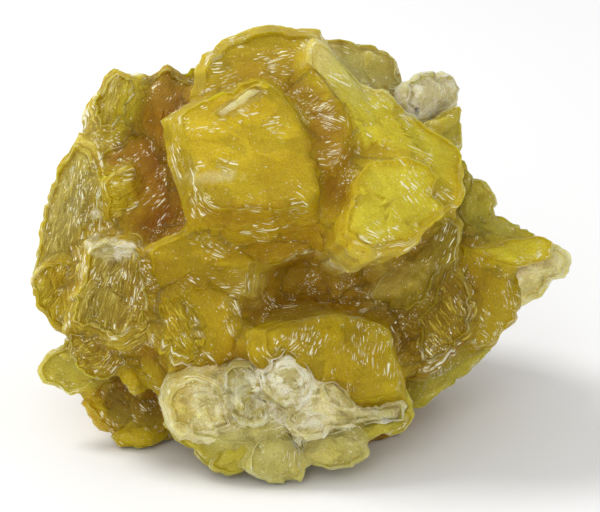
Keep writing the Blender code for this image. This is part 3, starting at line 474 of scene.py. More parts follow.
# Books that close the flanks behind the front ones: name, centre, way it faces, radius, rise
FLANK_BOOKS = [
    ("crown_back", (-3.0, 16.6, -2.6), (-0.15, 0.85, -0.5), 6.8, 1.8),
    ("crown_shoulder", (-9.5, 14.2, -3.6), (-0.45, 0.75, -0.5), 5.4, 1.4),
    ("knob_back", (6.4, 15.4, -4.4), (0.35, 0.8, -0.5), 5.6, 1.4),
    ("crest_back", (12.6, 12.2, -4.6), (0.65, 0.55, -0.5), 4.2, 1.0),
    ("top_left_back", (-16.2, 12.4, -4.6), (-0.6, 0.6, -0.5), 5.2, 1.4),
    ("left_back", (-21.4, 3.6, -4.4), (-0.85, 0.15, -0.5), 6.2, 1.4),
    ("left_low_back", (-20.6, -5.0, -4.8), (-0.8, -0.3, -0.5), 5.8, 1.4),
    ("foot_back", (-16.6, -13.2, -5.6), (-0.5, -0.6, -0.6), 4.8, 1.2),
    ("disc_back", (15.6, 4.2, -6.2), (0.8, 0.3, -0.5), 5.0, 1.2),
    ("wing_back", (20.4, -2.0, -5.2), (0.55, 0.0, -0.8), 4.4, 1.0),
    ("hem_back", (15.0, -8.6, -6.0), (0.7, -0.4, -0.6), 5.0, 1.2),
    ("lobe_back", (6.0, -15.0, -2.0), (0.3, -0.8, -0.5), 5.0, 1.0),
    ("toe_back", (-6.0, -16.2, -1.0), (-0.2, -0.85, -0.5), 5.0, 1.0),
]
BACK_LOOKS = ["ribbed", "smooth_amber", "pale_ribbed", "olive_plain", "smooth_lemon", "deep_amber"]

# Patches of colour on the front, some of them painted shade in hollows, gaps and creases and some painted
# highlight or
# glow: middle in the view, half width, half height, turn, tone, strength, paleness
PATCHES = [
    ("hollow_shade", (2.4, -2.7), 7.8, 2.7, 9, "cavern", 0.9, 0.0),
    # painted highlight: a pale band where glints crowd on the main face
    ("face_band", (-8.8, 7.9), 2.6, 0.5, 3, "pale", 0.55, 0.2),
    ("main_low", (-6.0, 3.9), 7.0, 1.5, 0, "amber", 0.45, 0.0),
    # painted shade in the gap at the top left
    ("top_left_gap", (-13.4, 16.4), 2.0, 2.2, 0, "bark", 0.45, 0.0),
    ("crest_glint", (11.0, 15.6), 0.9, 1.8, 0, "white", 0.9, 0.8),
    ("disc_left", (-11.9, -14.6), 1.2, 3.2, 8, "lemon", 0.6, 0.2),
    ("disc_top", (-10.6, -12.0), 2.4, 0.7, -6, "lemon", 0.6, 0.2),
    ("bed_white", (-0.6, -16.0), 3.4, 1.2, -14, "white", 0.7, 0.9),
    ("knob_top", (6.6, 18.6), 3.8, 2.8, -20, "straw", 0.75, 0.1),
    ("white_cap", (-18.8, 0.7), 2.6, 1.1, -4, "white", 0.85, 0.9),
    ("flank_chalk", (-22.6, 6.4), 1.6, 4.6, -18, "straw", 0.25, 0.3),
    ("flank_chip", (-20.4, 4.2), 0.5, 0.5, 0, "white", 0.9, 0.9),
    ("cube_heart", (-18.6, -3.6), 2.6, 2.2, 0, "umber", 0.2, 0.0),
    ("cube_side", (-16.4, -5.0), 2.0, 4.0, 0, "amber", 0.3, 0.0),
    ("amber_glow", (-15.6, 6.8), 1.6, 4.4, 0, "amber", 0.8, 0.0),
    ("lemon_strip", (-17.4, 15.0), 0.9, 3.8, -24, "bright", 0.8, 0.1),
    ("lemon_belly", (-7.6, -7.6), 2.2, 3.0, 20, "lemon", 0.6, 0.0),
    ("lap_shade", (-1.0, -5.2), 5.0, 1.6, 8, "loam", 0.6, 0.0),
    ("lap_glow", (6.2, -11.4), 3.4, 3.4, 0, "lemon", 0.4, 0.0),
    # painted shade in the crease beside the main face
    ("face_crease", (3.0, 11.0), 2.0, 5.0, 12, "amber", 0.75, 0.0),
    ("comb_glow", (-17.9, 5.6), 1.8, 3.0, 0, "lemon", 0.5, 0.2),
    ("belly_shade", (-10.5, -0.6), 4.5, 2.4, 0, "amber", 0.2, 0.0),
    # painted shade under the main book
    ("under_main", (-1.0, 1.0), 5.0, 1.6, 8, "amber", 0.6, 0.0),
    ("plate_tip", (2.2, 20.2), 1.4, 1.8, 30, "pale", 0.55, 0.5),
    ("foot_glow", (-20.6, -15.2), 0.9, 2.6, 28, "lemon", 0.7, 0.0),
]


def unit(vectors):
    return vectors / np.maximum(np.linalg.norm(vectors, axis=-1, keepdims=True), 1e-9)


def to_row(points):
    """Points of the leaned view in the row's own axes: turned about u by the look-down angle and lifted."""
    down, level = math.sin(LOOK_DOWN), math.cos(LOOK_DOWN)
    u, v, w = points[..., 0], points[..., 1], points[..., 2]
    return np.stack((u, v * down - w * level, v * level + w * down + REST_HEIGHT), axis=-1)


def to_view(points):
    """The way back from the row's axes to u, v and w."""
    down, level = math.sin(LOOK_DOWN), math.cos(LOOK_DOWN)
    x, y, z = points[..., 0], points[..., 1], points[..., 2] - REST_HEIGHT
    return np.stack((x, y * down + z * level, z * down - y * level), axis=-1)


def ripples(points, seed, pitch, count=14):
    """Smooth noise: the sum of sine waves in random directions, with wavelengths near the pitch."""
    rng = np.random.default_rng(seed)
    ways = unit(rng.normal(size=(count, points.shape[-1])))
    waves = math.tau / (pitch * rng.uniform(0.6, 1.7, size=(count, 1)))
    phases = rng.uniform(0.0, math.tau, size=count)
    return np.sin(points @ (ways * waves).T + phases).sum(axis=-1) / math.sqrt(count)


def facets(points, seed, size, tilt, drop):
    """Broken facets: a point takes the height of the cell whose middle is nearest to it, a small plane with
    a tilt and a level of its own."""
    rng = np.random.default_rng(seed)
    flat = points.reshape(-1, points.shape[-1])
    low, high = flat.min(axis=0) - size, flat.max(axis=0) + size
    count = int(np.prod((high - low) / size)) + 2
    middles = low + (high - low) * rng.random((count, flat.shape[1]))
    slopes = tilt * rng.normal(size=middles.shape)
    levels = drop * rng.normal(size=count).clip(-1.6, 1.6)
    nearest = ((middles ** 2).sum(axis=1) - 2.0 * flat @ middles.T).argmin(axis=1)
    height = levels[nearest] + ((flat - middles[nearest]) * slopes[nearest]).sum(axis=1)
    return height.reshape(points.shape[:-1])


def smooth_step(value):
    value = np.clip(value, 0.0, 1.0)
    return value * value * (3.0 - 2.0 * value)


def terraces(plane, seed, radius, count=7):
    """Broken plates on a face: six-sided steps, all turned one way. A point gains or loses the height of
    each plate that it is inside."""
    rng = np.random.default_rng(seed)
    angles = rng.uniform(0.0, math.pi) + np.arange(6) * math.pi / 3.0
    ways = np.stack((np.cos(angles), np.sin(angles)), axis=1)
    height = np.zeros(plane.shape[:-1])
    for _ in range(count):
        middle = rng.uniform(-0.75, 0.75, size=2) * radius
        sides = radius * rng.uniform(0.18, 0.5) * rng.uniform(0.75, 1.2, size=6)
        inside = (sides - (plane - middle) @ ways.T).min(axis=-1)
        height += rng.choice((-0.8, 1.0)) * rng.uniform(0.6, 1.0) * smooth_step(inside / 0.3 + 0.5)
    return height


def growth_steps(share, turn, seed, count=5):
    """Steps that run parallel to the outline, fading in and out around it: each lowers what is outside it."""
    rng = np.random.default_rng(seed)
    height = np.zeros(np.broadcast(share, turn).shape)
    for _ in range(count):
        place = rng.uniform(0.45, 0.95) + 0.02 * np.sin(3.0 * turn + rng.uniform(0.0, math.tau))
        fade = 0.5 + 0.5 * np.sin(rng.integers(1, 4) * turn + rng.uniform(0.0, math.tau))
        height -= fade * smooth_step((share - place) / 0.04 + 0.5)
    return height


def closed_curve(corners, pitch):
    """A closed curve near the corners, mostly straight sides with a share of a Catmull-Rom spline, with
    stations an even pitch apart."""
    before, here = np.roll(corners, 1, axis=0), corners
    after, beyond = np.roll(corners, -1, axis=0), np.roll(corners, -2, axis=0)
    t = np.linspace(0.0, 1.0, SIDE_POINTS, endpoint=False)[None, :, None]
    spline = 0.5 * (2.0 * here[:, None] + (after - before)[:, None] * t
                    + (2.0 * before - 5.0 * here + 4.0 * after - beyond)[:, None] * t ** 2
                    + (3.0 * here - before - 3.0 * after + beyond)[:, None] * t ** 3)
    straight = here[:, None] * (1.0 - t) + after[:, None] * t
    path = (SPLINE_SHARE * spline + (1.0 - SPLINE_SHARE) * straight).reshape(-1, corners.shape[1])
    path = np.vstack((path, path[:1]))
    run = np.concatenate(([0.0], np.cumsum(np.linalg.norm(np.diff(path, axis=0), axis=1))))
    count = int(np.clip(run[-1] / pitch, *STATIONS))
    stations = np.linspace(0.0, run[-1], count, endpoint=False)
    return np.stack([np.interp(stations, run, path[:, axis]) for axis in range(path.shape[1])], axis=1)


def layer_heights(top, bottom, plate, rng):
    """Heights of the joints between plates, from top down to bottom, each about one plate apart."""
    count = max(int(round((top - bottom) / plate)), 1)
    widths = rng.uniform(0.6, 1.5, size=count)
    return top - (top - bottom) * np.concatenate(([0.0], np.cumsum(widths) / widths.sum()))


def carry(mesh, ident, local, tone, trim):
    """Puts the book's number on the faces, and its own place, tone and trim on the corners."""
    numbers = np.full(len(mesh.polygons), ident, np.int32)
    mesh.attributes.new("book", "INT", "FACE").data.foreach_set("value", numbers)
    corners = np.empty(len(mesh.loops), np.int32)
    mesh.loops.foreach_get("vertex_index", corners)
    for label, values in (("local", local), ("tone", tone), ("trim", trim)):
        spread = np.broadcast_to(values, (len(mesh.vertices), 3))[corners]
        layer = mesh.attributes.new(label, "FLOAT_VECTOR", "CORNER")
        layer.data.foreach_set("vector", spread.astype(np.float32).ravel())


def skin_mesh(name, rings, ident, local, tone, trim):
    """A closed mesh of rings with a pole at each end, which carries the book's own values at its corners."""
    rows, count = rings.shape[:2]
    points = np.vstack((rings.reshape(-1, 3), rings[0].mean(axis=0), rings[-1].mean(axis=0)))
    row, column = np.meshgrid(np.arange(rows - 1), np.arange(count), indexing="ij")
    beside = (column + 1) % count
    quads = np.stack((row * count + column, (row + 1) * count + column,
                      (row + 1) * count + beside, row * count + beside), axis=-1).reshape(-1, 4)
    around, onward = np.arange(count), (np.arange(count) + 1) % count
    top, bottom = rows * count, rows * count + 1
    last = (rows - 1) * count
    caps = np.vstack((np.stack((np.full(count, top), around, onward), axis=1),
                      np.stack((np.full(count, bottom), last + onward, last + around), axis=1)))
    mesh = bpy.data.meshes.new(name)
    mesh.from_pydata(to_row(points) * MM, [], quads.tolist() + caps.tolist())
    mesh.update()
    ends = [np.vstack((grid.reshape(-1, 3), grid[0].mean(axis=0), grid[-1].mean(axis=0)))
            for grid in (local, tone, trim)]
    carry(mesh, ident, *ends)
    return mesh


def stack_mesh(name, ident, rim, normal, face_share, rise, shift, root, root_share, look, grain, pitch):
    """A book as rings about its normal. The face runs from its middle to its edge, with a low dome, facets,
    broken plates and growth steps. The walls below step in and out from plate to plate, down to the root."""
    rng = np.random.default_rng(SEEDS["plates"] + ident)
    middle = rim.mean(axis=0)
    spokes = rim - middle
    outward = unit(spokes)
    radius = float(np.linalg.norm(spokes, axis=1).mean())
    angle = math.radians(grain)
    along = np.array((math.cos(angle), math.sin(angle), 0.0))
    along = unit(along - normal * along.dot(normal))
    across = np.cross(normal, along)
    jogs = look.rag * facets(rim, SEEDS["outline"] + ident, *JOG_CELLS)

    # Where the walls run: the face's edge, one ledge where there is room, the rim, then the root
    ledge_share = face_share + (1.0 - face_share) * LEDGE_SPREAD
    ledge_height = rise * (1.0 - LEDGE_DROP)
    heights, shares, slides = [rise], [face_share], [1.0]
    if rise > LEDGE_MIN_RISE:
        heights += [ledge_height + LIP_RISE * rise, ledge_height - FLOOR_DROP * rise]
        shares += [face_share + (ledge_share - face_share) * LIP_SPREAD, ledge_share]
        slides += [LIP_SHIFT, FLOOR_SHIFT]
    heights, shares, slides = heights + [0.0], shares + [1.0], slides + [0.0]
    deep = float((middle - root).dot(normal))
    seen = min(SEEN_SHARE * deep, SEEN_MOST)
    joints = np.concatenate((layer_heights(rise, 0.0, look.plate, rng),
                             layer_heights(0.0, -seen, look.plate * LOW_PLATE, rng)[1:]))
    tops, bottoms = joints[:-1], joints[1:]
    lip = PLATE_LIP * (tops - bottoms)
    wall_heights = np.stack((tops - lip, bottoms + lip), axis=1).ravel()
    stepped = (look.step * np.repeat(0.5 * (tops + bottoms), 2) + (1.0 - look.step) * wall_heights)
    root_heights = -deep * (ROOT_STEPS if deep > DEEP_ROOT else SHALLOW_STEPS)
    all_heights = np.concatenate((stepped, root_heights))
    wall_shares = np.interp(all_heights, heights[::-1], shares[::-1])
    wall_slides = np.interp(all_heights, heights[::-1], slides[::-1])
    fall = np.clip(-all_heights / deep, 0.0, 1.0)
    wall_shares = wall_shares + (root_share - 1.0) * fall
    centres = (middle + np.outer(wall_slides, shift) + np.outer(fall, root - middle)
               + np.outer(fall * deep, normal))
    true_heights = np.concatenate((wall_heights, root_heights))
    places = rim[None] + normal * true_heights[:, None, None]
    ledges = np.concatenate((rng.uniform(-1.0, 1.0, len(tops)).repeat(2), np.zeros(len(root_heights))))
    bulge = facets(places * WALL_STRETCH, SEEDS["walls"] + ident, *WALL_CELLS).clip(*WALL_RANGE)
    offsets = (look.ledge * ledges[:, None] + look.relief * bulge + jogs[None]) * (fall[:, None] < SEEN_SHARE)
    walls = (centres[:, None] + spokes[None] * wall_shares[:, None, None]
             + normal * true_heights[:, None, None] + outward[None] * offsets[..., None])

    # The face, with rows closer together towards its edge
    rows = int(np.clip(ROW_SHARE * radius * face_share / pitch, *FACE_ROWS))
    steps = (((np.arange(rows) + 1.0) / rows) ** 0.8)[:, None]
    flat = (middle + shift + spokes[None] * (face_share * steps)[..., None]
            + outward[None] * (offsets[0][None] * steps ** 4)[..., None])
    x, y = (flat - middle) @ along, (flat - middle) @ across
    plane = np.stack((x * FACE_STRETCH, y), axis=-1)
    turn = np.arctan2(spokes @ across, spokes @ along)[None]
    cells = facets(plane, SEEDS["face"] + ident, FACE_CELLS[0], 0.0, 1.0)
    inner = 1.0 - steps ** 10
    relief = facets(plane, SEEDS["face"] + ident, *FACE_CELLS)
    relief = (relief + WAVE_RISE * ripples(plane, SEEDS["waves"] + ident, WAVE_LENGTH)) * inner
    broken = terraces(np.stack((x, y), axis=-1), SEEDS["terraces"] + ident, radius * face_share)
    relief = relief + TERRACE_RISE * broken * inner
    growth = growth_steps(steps, turn, SEEDS["growth"] + ident, 5 + int(4 * look.pale))
    relief = relief + (GROWTH_RISE + PALE_GROWTH * look.pale) * growth
    rounding = np.clip((steps - EDGE_START) / (1.0 - EDGE_START), 0.0, 1.0)
    dome = DOME_SHARE * radius * (1.0 - steps ** 2) - EDGE_ROUNDING * rounding
    face = flat + normal * (rise + look.relief * relief + dome)[..., None]

    rings = np.concatenate((face, walls))
    local = (rings - middle) @ np.stack((along, across, normal), axis=1)
    wallness = np.concatenate((steps ** 12 * np.ones(len(rim)), np.ones((len(walls), len(rim)))))
    on_wall = np.concatenate((np.zeros(face.shape[:2]), np.ones(walls.shape[:2])))
    face_tone, wall_tone = np.array(TONES[look.face]), np.array(TONES[look.wall])
    tone = face_tone * (1.0 - wallness[..., None]) + wall_tone * wallness[..., None]
    wall_cells = facets(places * WALL_STRETCH, SEEDS["walls"] + ident, WALL_CELLS[0], 0.0, 1.0)
    tone = tone * (1.0 + CELL_TINT * np.concatenate((cells, wall_cells)))[..., None]
    glint, pale = np.full(on_wall.shape, look.glint), np.full(on_wall.shape, look.pale)
    trim = np.stack((glint, on_wall, pale), axis=-1)
    return skin_mesh(name, rings, ident, local, tone, trim)


def front_mesh(ident, book):
    """One book of the front: its outline, seen by the viewer, is laid on its leaning plane."""
    near = 1.0 - book.depth / VIEW_DISTANCE
    corners = np.array(book.outline)
    mean = corners.mean(axis=0)
    middle = np.array((mean[0] * near, mean[1] * near, book.depth))
    turn = np.roll(corners, -1, axis=0)
    if (corners[:, 0] * turn[:, 1] - corners[:, 1] * turn[:, 0]).sum() < 0.0:
        corners = corners[::-1]
    seen = closed_curve(corners, FRONT_PITCH)
    lean = np.array(book.lean)
    top = middle[2] + (seen - middle[:2]) @ lean
    w = top / (1.0 + (seen @ lean) / VIEW_DISTANCE)
    rim = np.column_stack((seen * (1.0 - w / VIEW_DISTANCE)[:, None], w))
    normal = unit(np.array((-lean[0], -lean[1], 1.0)))
    shift = np.array((*book.shift, lean @ np.array(book.shift)))
    root = HEART + (middle - HEART) * ROOT_REACH
    root_share = OVERHANG_ROOT_SHARE if book.name in OVERHANGS else ROOT_SHARE
    return stack_mesh(book.name, ident, rim, normal, book.share, book.rise, shift, root, root_share,
                      LOOKS[book.look], book.grain, FRONT_PITCH)


def orthogonal(normal):
    """A unit vector across the normal, the same one that the solids were laid out with."""
    return np.array(Vector(normal).orthogonal().normalized())


def loose_mesh(name, ident, centre, facing, radius, rise, rng, look):
    """A book of the hidden side: a stack with even sides, a little narrower one way, that faces outwards."""
    normal = unit(np.array(facing))
    across = orthogonal(normal)
    along = np.cross(normal, across)
    spin = rng.uniform(0.0, math.pi)
    corners = []
    for corner in range(LOOSE_CORNERS):
        angle = spin + (corner + rng.uniform(-CORNER_STRAY, CORNER_STRAY)) * math.tau / LOOSE_CORNERS
        spoke = radius * rng.uniform(*SPOKE_SPREAD)
        breadth = spoke * LOOSE_BREADTH
        corners.append(centre + across * (spoke * math.cos(angle)) + along * (breadth * math.sin(angle)))
    rim = closed_curve(np.array(corners), BACK_PITCH)
    root = HEART + (np.array(centre) - HEART) * ROOT_REACH
    share = rng.uniform(*LOOSE_FACE_SHARE)
    return stack_mesh(name, ident, rim, normal, share, rise, np.zeros(3), root, LOOSE_ROOT_SHARE,
                      LOOKS[look], math.degrees(spin) * 2.0, BACK_PITCH)


def hidden_meshes(first):
    """The flank books, the books spread along a golden spiral over the back, and the broken base."""
    rng = random.Random(BACK_SEED)
    meshes = []
    for name, centre, facing, radius, rise in FLANK_BOOKS:
        look = BACK_LOOKS[len(meshes) % len(BACK_LOOKS)]
        meshes.append(loose_mesh(name, first + len(meshes), np.array(centre), facing, radius, rise, rng,
                                 look))
    for index in range(SPREAD_COUNT):
        height = 1.0 - 2.0 * (index + 0.5) / SPREAD_COUNT
        flat = math.sqrt(1.0 - height * height)
        turn = index * GOLDEN_ANGLE
        way = np.array((flat * math.cos(turn), height, flat * math.sin(turn)))
        if way[2] > BACK_LIMIT:
            continue
        reach = way * BACK_REACH * rng.uniform(*BACK_SPREAD)
        tip = np.array([rng.uniform(-BACK_TIP, BACK_TIP) for axis in range(3)])
        radius = rng.uniform(*BACK_RADIUS)
        rise = rng.uniform(*BACK_RISE)
        look = BACK_LOOKS[len(meshes) % len(BACK_LOOKS)]
        meshes.append(loose_mesh(f"back_{index}", first + len(meshes), BACK_CENTRE + reach, way + tip,
                                 radius, rise, rng, look))
    down = (0.0, -math.cos(LOOK_DOWN), -math.sin(LOOK_DOWN))
    meshes.append(loose_mesh("base", first + len(meshes), BASE_CENTRE, down, BASE_RADIUS, BASE_RISE, rng,
                             "brown_plain"))
    return meshes


def core_mesh(ident):
    """The lump under the books: an egg of latitude rings, pushed in and out by smooth noise."""
    latitude = np.linspace(0.03, 0.97, CORE_GRID[0])[:, None] * math.pi
    longitude = np.linspace(0.0, math.tau, CORE_GRID[1], endpoint=False)
    way = np.stack((np.sin(latitude) * np.cos(longitude), np.sin(latitude) * np.sin(longitude),
                    np.cos(latitude) * np.ones(CORE_GRID[1])), axis=-1)
    plain = CORE_CENTRE + way * CORE_RADII
    waves = CORE_RELIEF * (ripples(plain, CORE_SEED, WAVE_LENGTH) - 0.5)
    rings = plain + way * waves[..., None]
    tone = np.broadcast_to(np.array(TONES["umber"]), rings.shape)
    trim = np.broadcast_to(np.array((0.2, 1.0, 0.0)), rings.shape)
    return skin_mesh("core", rings, ident, rings - CORE_CENTRE, tone, trim)


def block_mesh(name, ident):
    """A block under the resting plane, which levels what reaches below it."""
    half = 0.5 * FLOOR_CUTTER
    mesh = bpy.data.meshes.new(name)
    corners = [(x, y, z) for x in (-half, half) for y in (-half, half) for z in (-FLOOR_CUTTER, 0.0)]
    faces = [(0, 1, 3, 2), (4, 6, 7, 5), (0, 4, 5, 1), (2, 3, 7, 6), (0, 2, 6, 4), (1, 5, 7, 3)]
    mesh.from_pydata([tuple(MM * value for value in corner) for corner in corners], [], faces)
    carry(mesh, ident, np.zeros(3), np.array(TONES["umber"]), np.zeros(3))
    return mesh


def evaluated(body):
    """The mesh of an object with its modifiers applied."""
    graph = bpy.context.evaluated_depsgraph_get()
    graph.update()
    return bpy.data.meshes.new_from_object(body.evaluated_get(graph))


def closed_over(mesh, radius):
    """The skin with its grooves closed: grown by the ball's radius and drawn in again, a little further than
    it was, and made anew on a grid after each move, so that what overlaps is joined."""
    body = bpy.data.objects.new("closed", mesh)
    bpy.context.scene.collection.objects.link(body)
    for growth in (0.0, radius, -radius - FILL_SINK):
        grow = body.modifiers.new("grow", "DISPLACE")
        grow.direction, grow.mid_level, grow.strength = "NORMAL", 0.0, growth * MM
        grid = body.modifiers.new("grid", "REMESH")
        grid.mode, grid.voxel_size = "VOXEL", FILL_PITCH * MM
    closed = evaluated(body)
    bpy.data.objects.remove(body)
    return closed


def patchwork(points, seed, size):
    """The points turned by patches: each takes the turn of the patch whose middle is nearest to it."""
    rng = np.random.default_rng(seed)
    low, high = points.min(axis=0), points.max(axis=0)
    middles = low + (high - low) * rng.random((int(np.prod((high - low) / size)), 3))
    nearest = ((middles ** 2).sum(axis=1) - 2.0 * points @ middles.T).argmin(axis=1)
    first = unit(rng.normal(size=(len(middles), 3)))
    second = unit(np.cross(first, rng.normal(size=(len(middles), 3))))
    third = np.cross(first, second)
    ways = np.stack((first, second, third), axis=1)[nearest]
    return np.einsum("nij,nj->ni", ways, points)


def filler_mesh(ident, mesh, radius):
    """Mica that fills the grooves between the books, in the colours of the skin around them."""
    filler = closed_over(mesh, radius)
    points = np.empty(len(filler.vertices) * 3)
    filler.vertices.foreach_get("co", points)
    points = points.reshape(-1, 3) / MM
    centres, areas = face_sizes(mesh)
    starts = np.empty(len(mesh.polygons), np.int32)
    mesh.polygons.foreach_get("loop_start", starts)
    matter = sample(blurred_matter(centres, areas, TONE_REACH), points) + 1e-6
    values = np.hstack((read(mesh, "tone", 3, "vector"), read(mesh, "trim", 3, "vector")))[starts]
    mean = [sample(blurred_matter(centres, areas * values[:, column], TONE_REACH), points) / matter
            for column in range(6)]
    tone = np.stack(mean[:3], axis=1)
    trim = np.stack((FILL_GLINT * mean[3], np.zeros(len(tone)), mean[5]), axis=1)
    carry(filler, ident, patchwork(points, PATCH_SEED, FILL_PATCH), tone, trim)
    return filler


def face_sizes(mesh):
    """The middles of the faces in millimetres, and their areas in square millimetres."""
    areas, centres = np.empty(len(mesh.polygons)), np.empty(len(mesh.polygons) * 3)
    mesh.polygons.foreach_get("area", areas)
    mesh.polygons.foreach_get("center", centres)
    return centres.reshape(-1, 3) / MM, areas / MM ** 2


def boolean(base, others, operation):
    """The base mesh joined with, or cut by, the other meshes."""
    group = bpy.data.collections.new("operands")
    bpy.context.scene.collection.children.link(group)
    for mesh in others:
        group.objects.link(bpy.data.objects.new(mesh.name, mesh))
    body = bpy.data.objects.new("body", base)
    bpy.context.scene.collection.objects.link(body)
    modifier = body.modifiers.new("join", "BOOLEAN")
    modifier.operation, modifier.operand_type = operation, "COLLECTION"
    modifier.collection, modifier.solver = group, "MANIFOLD"
    result = evaluated(body)
    for obj in [body, *group.objects]:
        bpy.data.objects.remove(obj)
    bpy.data.collections.remove(group)
    return result


def fused_skin():
    """Joins every book and the core into one closed skin and fills its grooves, those of the waxy books and
    of the crisp ones apart, then levels it at the resting plane."""
    books = [front_mesh(ident, book) for ident, book in enumerate(BOOKS)]
    is_waxy = [LOOKS[book.look].pale < CRISP_PALE for book in BOOKS]
    waxy = [mesh for mesh, soft in zip(books, is_waxy) if soft] + hidden_meshes(len(books))
    crisp = [mesh for mesh, soft in zip(books, is_waxy) if not soft]
    number = len(waxy) + len(crisp)
    joined = boolean(core_mesh(number), waxy, "UNION")
    crust = boolean(crisp[0], crisp[1:], "UNION")
    fillers = [filler_mesh(number + 1, joined, FILL_RADIUS), filler_mesh(number + 2, crust, CRISP_RADIUS)]
    joined = boolean(joined, [*fillers, crust], "UNION")
    return boolean(joined, [block_mesh("floor_cutter", number + 3)], "DIFFERENCE")


def read(mesh, label, width, kind):
    values = np.empty(len(mesh.attributes[label].data) * width, np.float32)
    mesh.attributes[label].data.foreach_get(kind, values)
    return values.reshape(-1, width) if width > 1 else values


def fit_box(mesh):
    """Draws in softly what comes near the sides and the top of the solids' box, so that nothing is past
    it: what is past the soft edge falls off as an exponential towards the side."""
    low, high = np.array(cad_box[0]) + 1e-5, np.array(cad_box[1]) - 1e-5
    points = np.empty(len(mesh.vertices) * 3)
    mesh.vertices.foreach_get("co", points)
    points = points.reshape(-1, 3)
    soft = SOFT_EDGE * MM
    sides = ((0, -1, -low[0]), (0, 1, high[0]), (1, -1, -low[1]), (1, 1, high[1]), (2, 1, high[2]))
    for axis, side, edge in sides:
        past = np.clip(side * points[:, axis] - edge + soft, 0.0, None)
        drawn = side * (edge - soft * np.exp(-past / soft))
        points[:, axis] = np.where(past > 0.0, drawn, points[:, axis])
    mesh.vertices.foreach_set("co", points.astype(np.float32).ravel())
    mesh.update()
    return points / MM


def blurred_matter(points, areas, reach):
    """How much skin there is around each cell of a grid: areas dropped into cells, then blurred twice along
    each axis by a running mean of the given reach."""
    low = points.min(axis=0) - FIELD_MARGIN
    shape = np.ceil((points.max(axis=0) + FIELD_MARGIN - low) / CELL).astype(int)
    cell = np.floor((points - low) / CELL).astype(int)
    flat = (cell[:, 0] * shape[1] + cell[:, 1]) * shape[2] + cell[:, 2]
    grid = np.bincount(flat, weights=areas, minlength=int(shape.prod())).reshape(shape)
    width = max(int(round(reach / CELL)), 1)
    for _ in range(2):
        for axis in range(3):
            total = np.cumsum(grid, axis=axis)
            ahead = np.take(total, np.minimum(np.arange(shape[axis]) + width, shape[axis] - 1), axis=axis)
            behind = np.take(total, np.maximum(np.arange(shape[axis]) - width - 1, 0), axis=axis)
            grid = (ahead - behind) / (2 * width + 1)
    return grid, low, shape


def sample(field, points):
    """The value of a blurred grid at points, from the eight cells around each."""
    grid, low, shape = field
    place = np.clip((points - low) / CELL - 0.5, 0.0, np.array(shape) - 1.001)
    base = np.floor(place).astype(int)
    part = place - base
    value = np.zeros(len(points))
    for corner in range(8):
        pick = np.array((corner >> 2 & 1, corner >> 1 & 1, corner & 1))
        weight = np.abs(1 - pick - part).prod(axis=1)
        index = np.minimum(base + pick, np.array(shape) - 1)
        value += weight * grid[index[:, 0], index[:, 1], index[:, 2]]
    return value


def add_shade(mesh, points):
    """Puts on each point how much it stands out as a fine edge, and how far it lies in a broad crease: more
    skin in front of the point than behind it means a crease, and less means an edge."""
    normals = np.empty(len(mesh.vertices) * 3)
    mesh.vertices.foreach_get("normal", normals)
    normals = normals.reshape(-1, 3)
    centres, areas = face_sizes(mesh)
    sides = []
    for reach, step in ((EDGE_REACH, EDGE_STEP), (CREASE_REACH, CREASE_STEP)):
        field = blurred_matter(centres, areas, reach)
        ahead, behind = sample(field, points + normals * step), sample(field, points - normals * step)
        sides.append((ahead - behind) / (sample(field, points) + 1e-6))
    fine, broad = sides
    shade = np.stack((np.clip(-fine, 0.0, EDGE_MOST), broad, np.zeros_like(fine)), axis=1)
    layer = mesh.attributes.new("shade", "FLOAT_VECTOR", "POINT")
    layer.data.foreach_set("vector", shade.astype(np.float32).ravel())


def add_patches(mesh, points):
    """Mixes the patches of colour into the tone and trim at the corners that face the viewer. A patch is an
    ellipse with a ragged rim; the length of its name picks the rags."""
    corner = np.empty(len(mesh.loops), np.int32)
    mesh.loops.foreach_get("vertex_index", corner)
    place = to_view(points)[corner]
    seen = place[:, :2] / (1.0 - place[:, 2:] / VIEW_DISTANCE)
    front = np.clip((place[:, 2] + PATCH_DEPTH) / PATCH_FADE, 0.0, 1.0)
    tone, trim = read(mesh, "tone", 3, "vector"), read(mesh, "trim", 3, "vector")
    for name, centre, half_width, half_height, turn, colour, strength, pale in PATCHES:
        angle = math.radians(turn)
        du, dv = (seen - np.array(centre)).T
        across = (du * math.cos(angle) + dv * math.sin(angle)) / half_width
        up = (dv * math.cos(angle) - du * math.sin(angle)) / half_height
        inside = 1.0 - np.hypot(across, up) + PATCH_RAG * ripples(seen, len(name), RAG_LENGTH)
        fade = CHALK_FADE if pale > CHALK_PALE else WAXY_FADE
        weight = np.clip(0.5 + fade * inside, 0.0, 1.0) * strength * front
        tone += (np.array(TONES[colour]) - tone) * weight[:, None]
        trim[:, 2] += (pale - trim[:, 2]) * weight
    mesh.attributes["tone"].data.foreach_set("vector", tone.astype(np.float32).ravel())
    mesh.attributes["trim"].data.foreach_set("vector", trim.astype(np.float32).ravel())


def node(tree, kind, values=None, **settings):
    """Adds a node, sets its own settings and the values of its named or numbered sockets."""
    added = tree.nodes.new(kind)
    for key, value in settings.items():
        setattr(added, key, value)
    for key, value in (values or {}).items():
        if isinstance(value, bpy.types.NodeSocket):
            tree.links.new(value, added.inputs[key])
        else:
            added.inputs[key].default_value = value
    return added


def maths(tree, operation, *values, clamp=False):
    sockets = dict(enumerate(values))
    return node(tree, "ShaderNodeMath", sockets, operation=operation, use_clamp=clamp).outputs[0]


def scaled(tree, vector, scale):
    """A vector with each part multiplied."""
    return node(tree, "ShaderNodeVectorMath", {0: vector, 1: scale}, operation="MULTIPLY").outputs[0]


def noise(tree, vector, scale, detail=3.0, roughness=0.55):
    values = {"Vector": vector, "Scale": scale, "Detail": detail, "Roughness": roughness}
    return node(tree, "ShaderNodeTexNoise", values).outputs["Fac"]


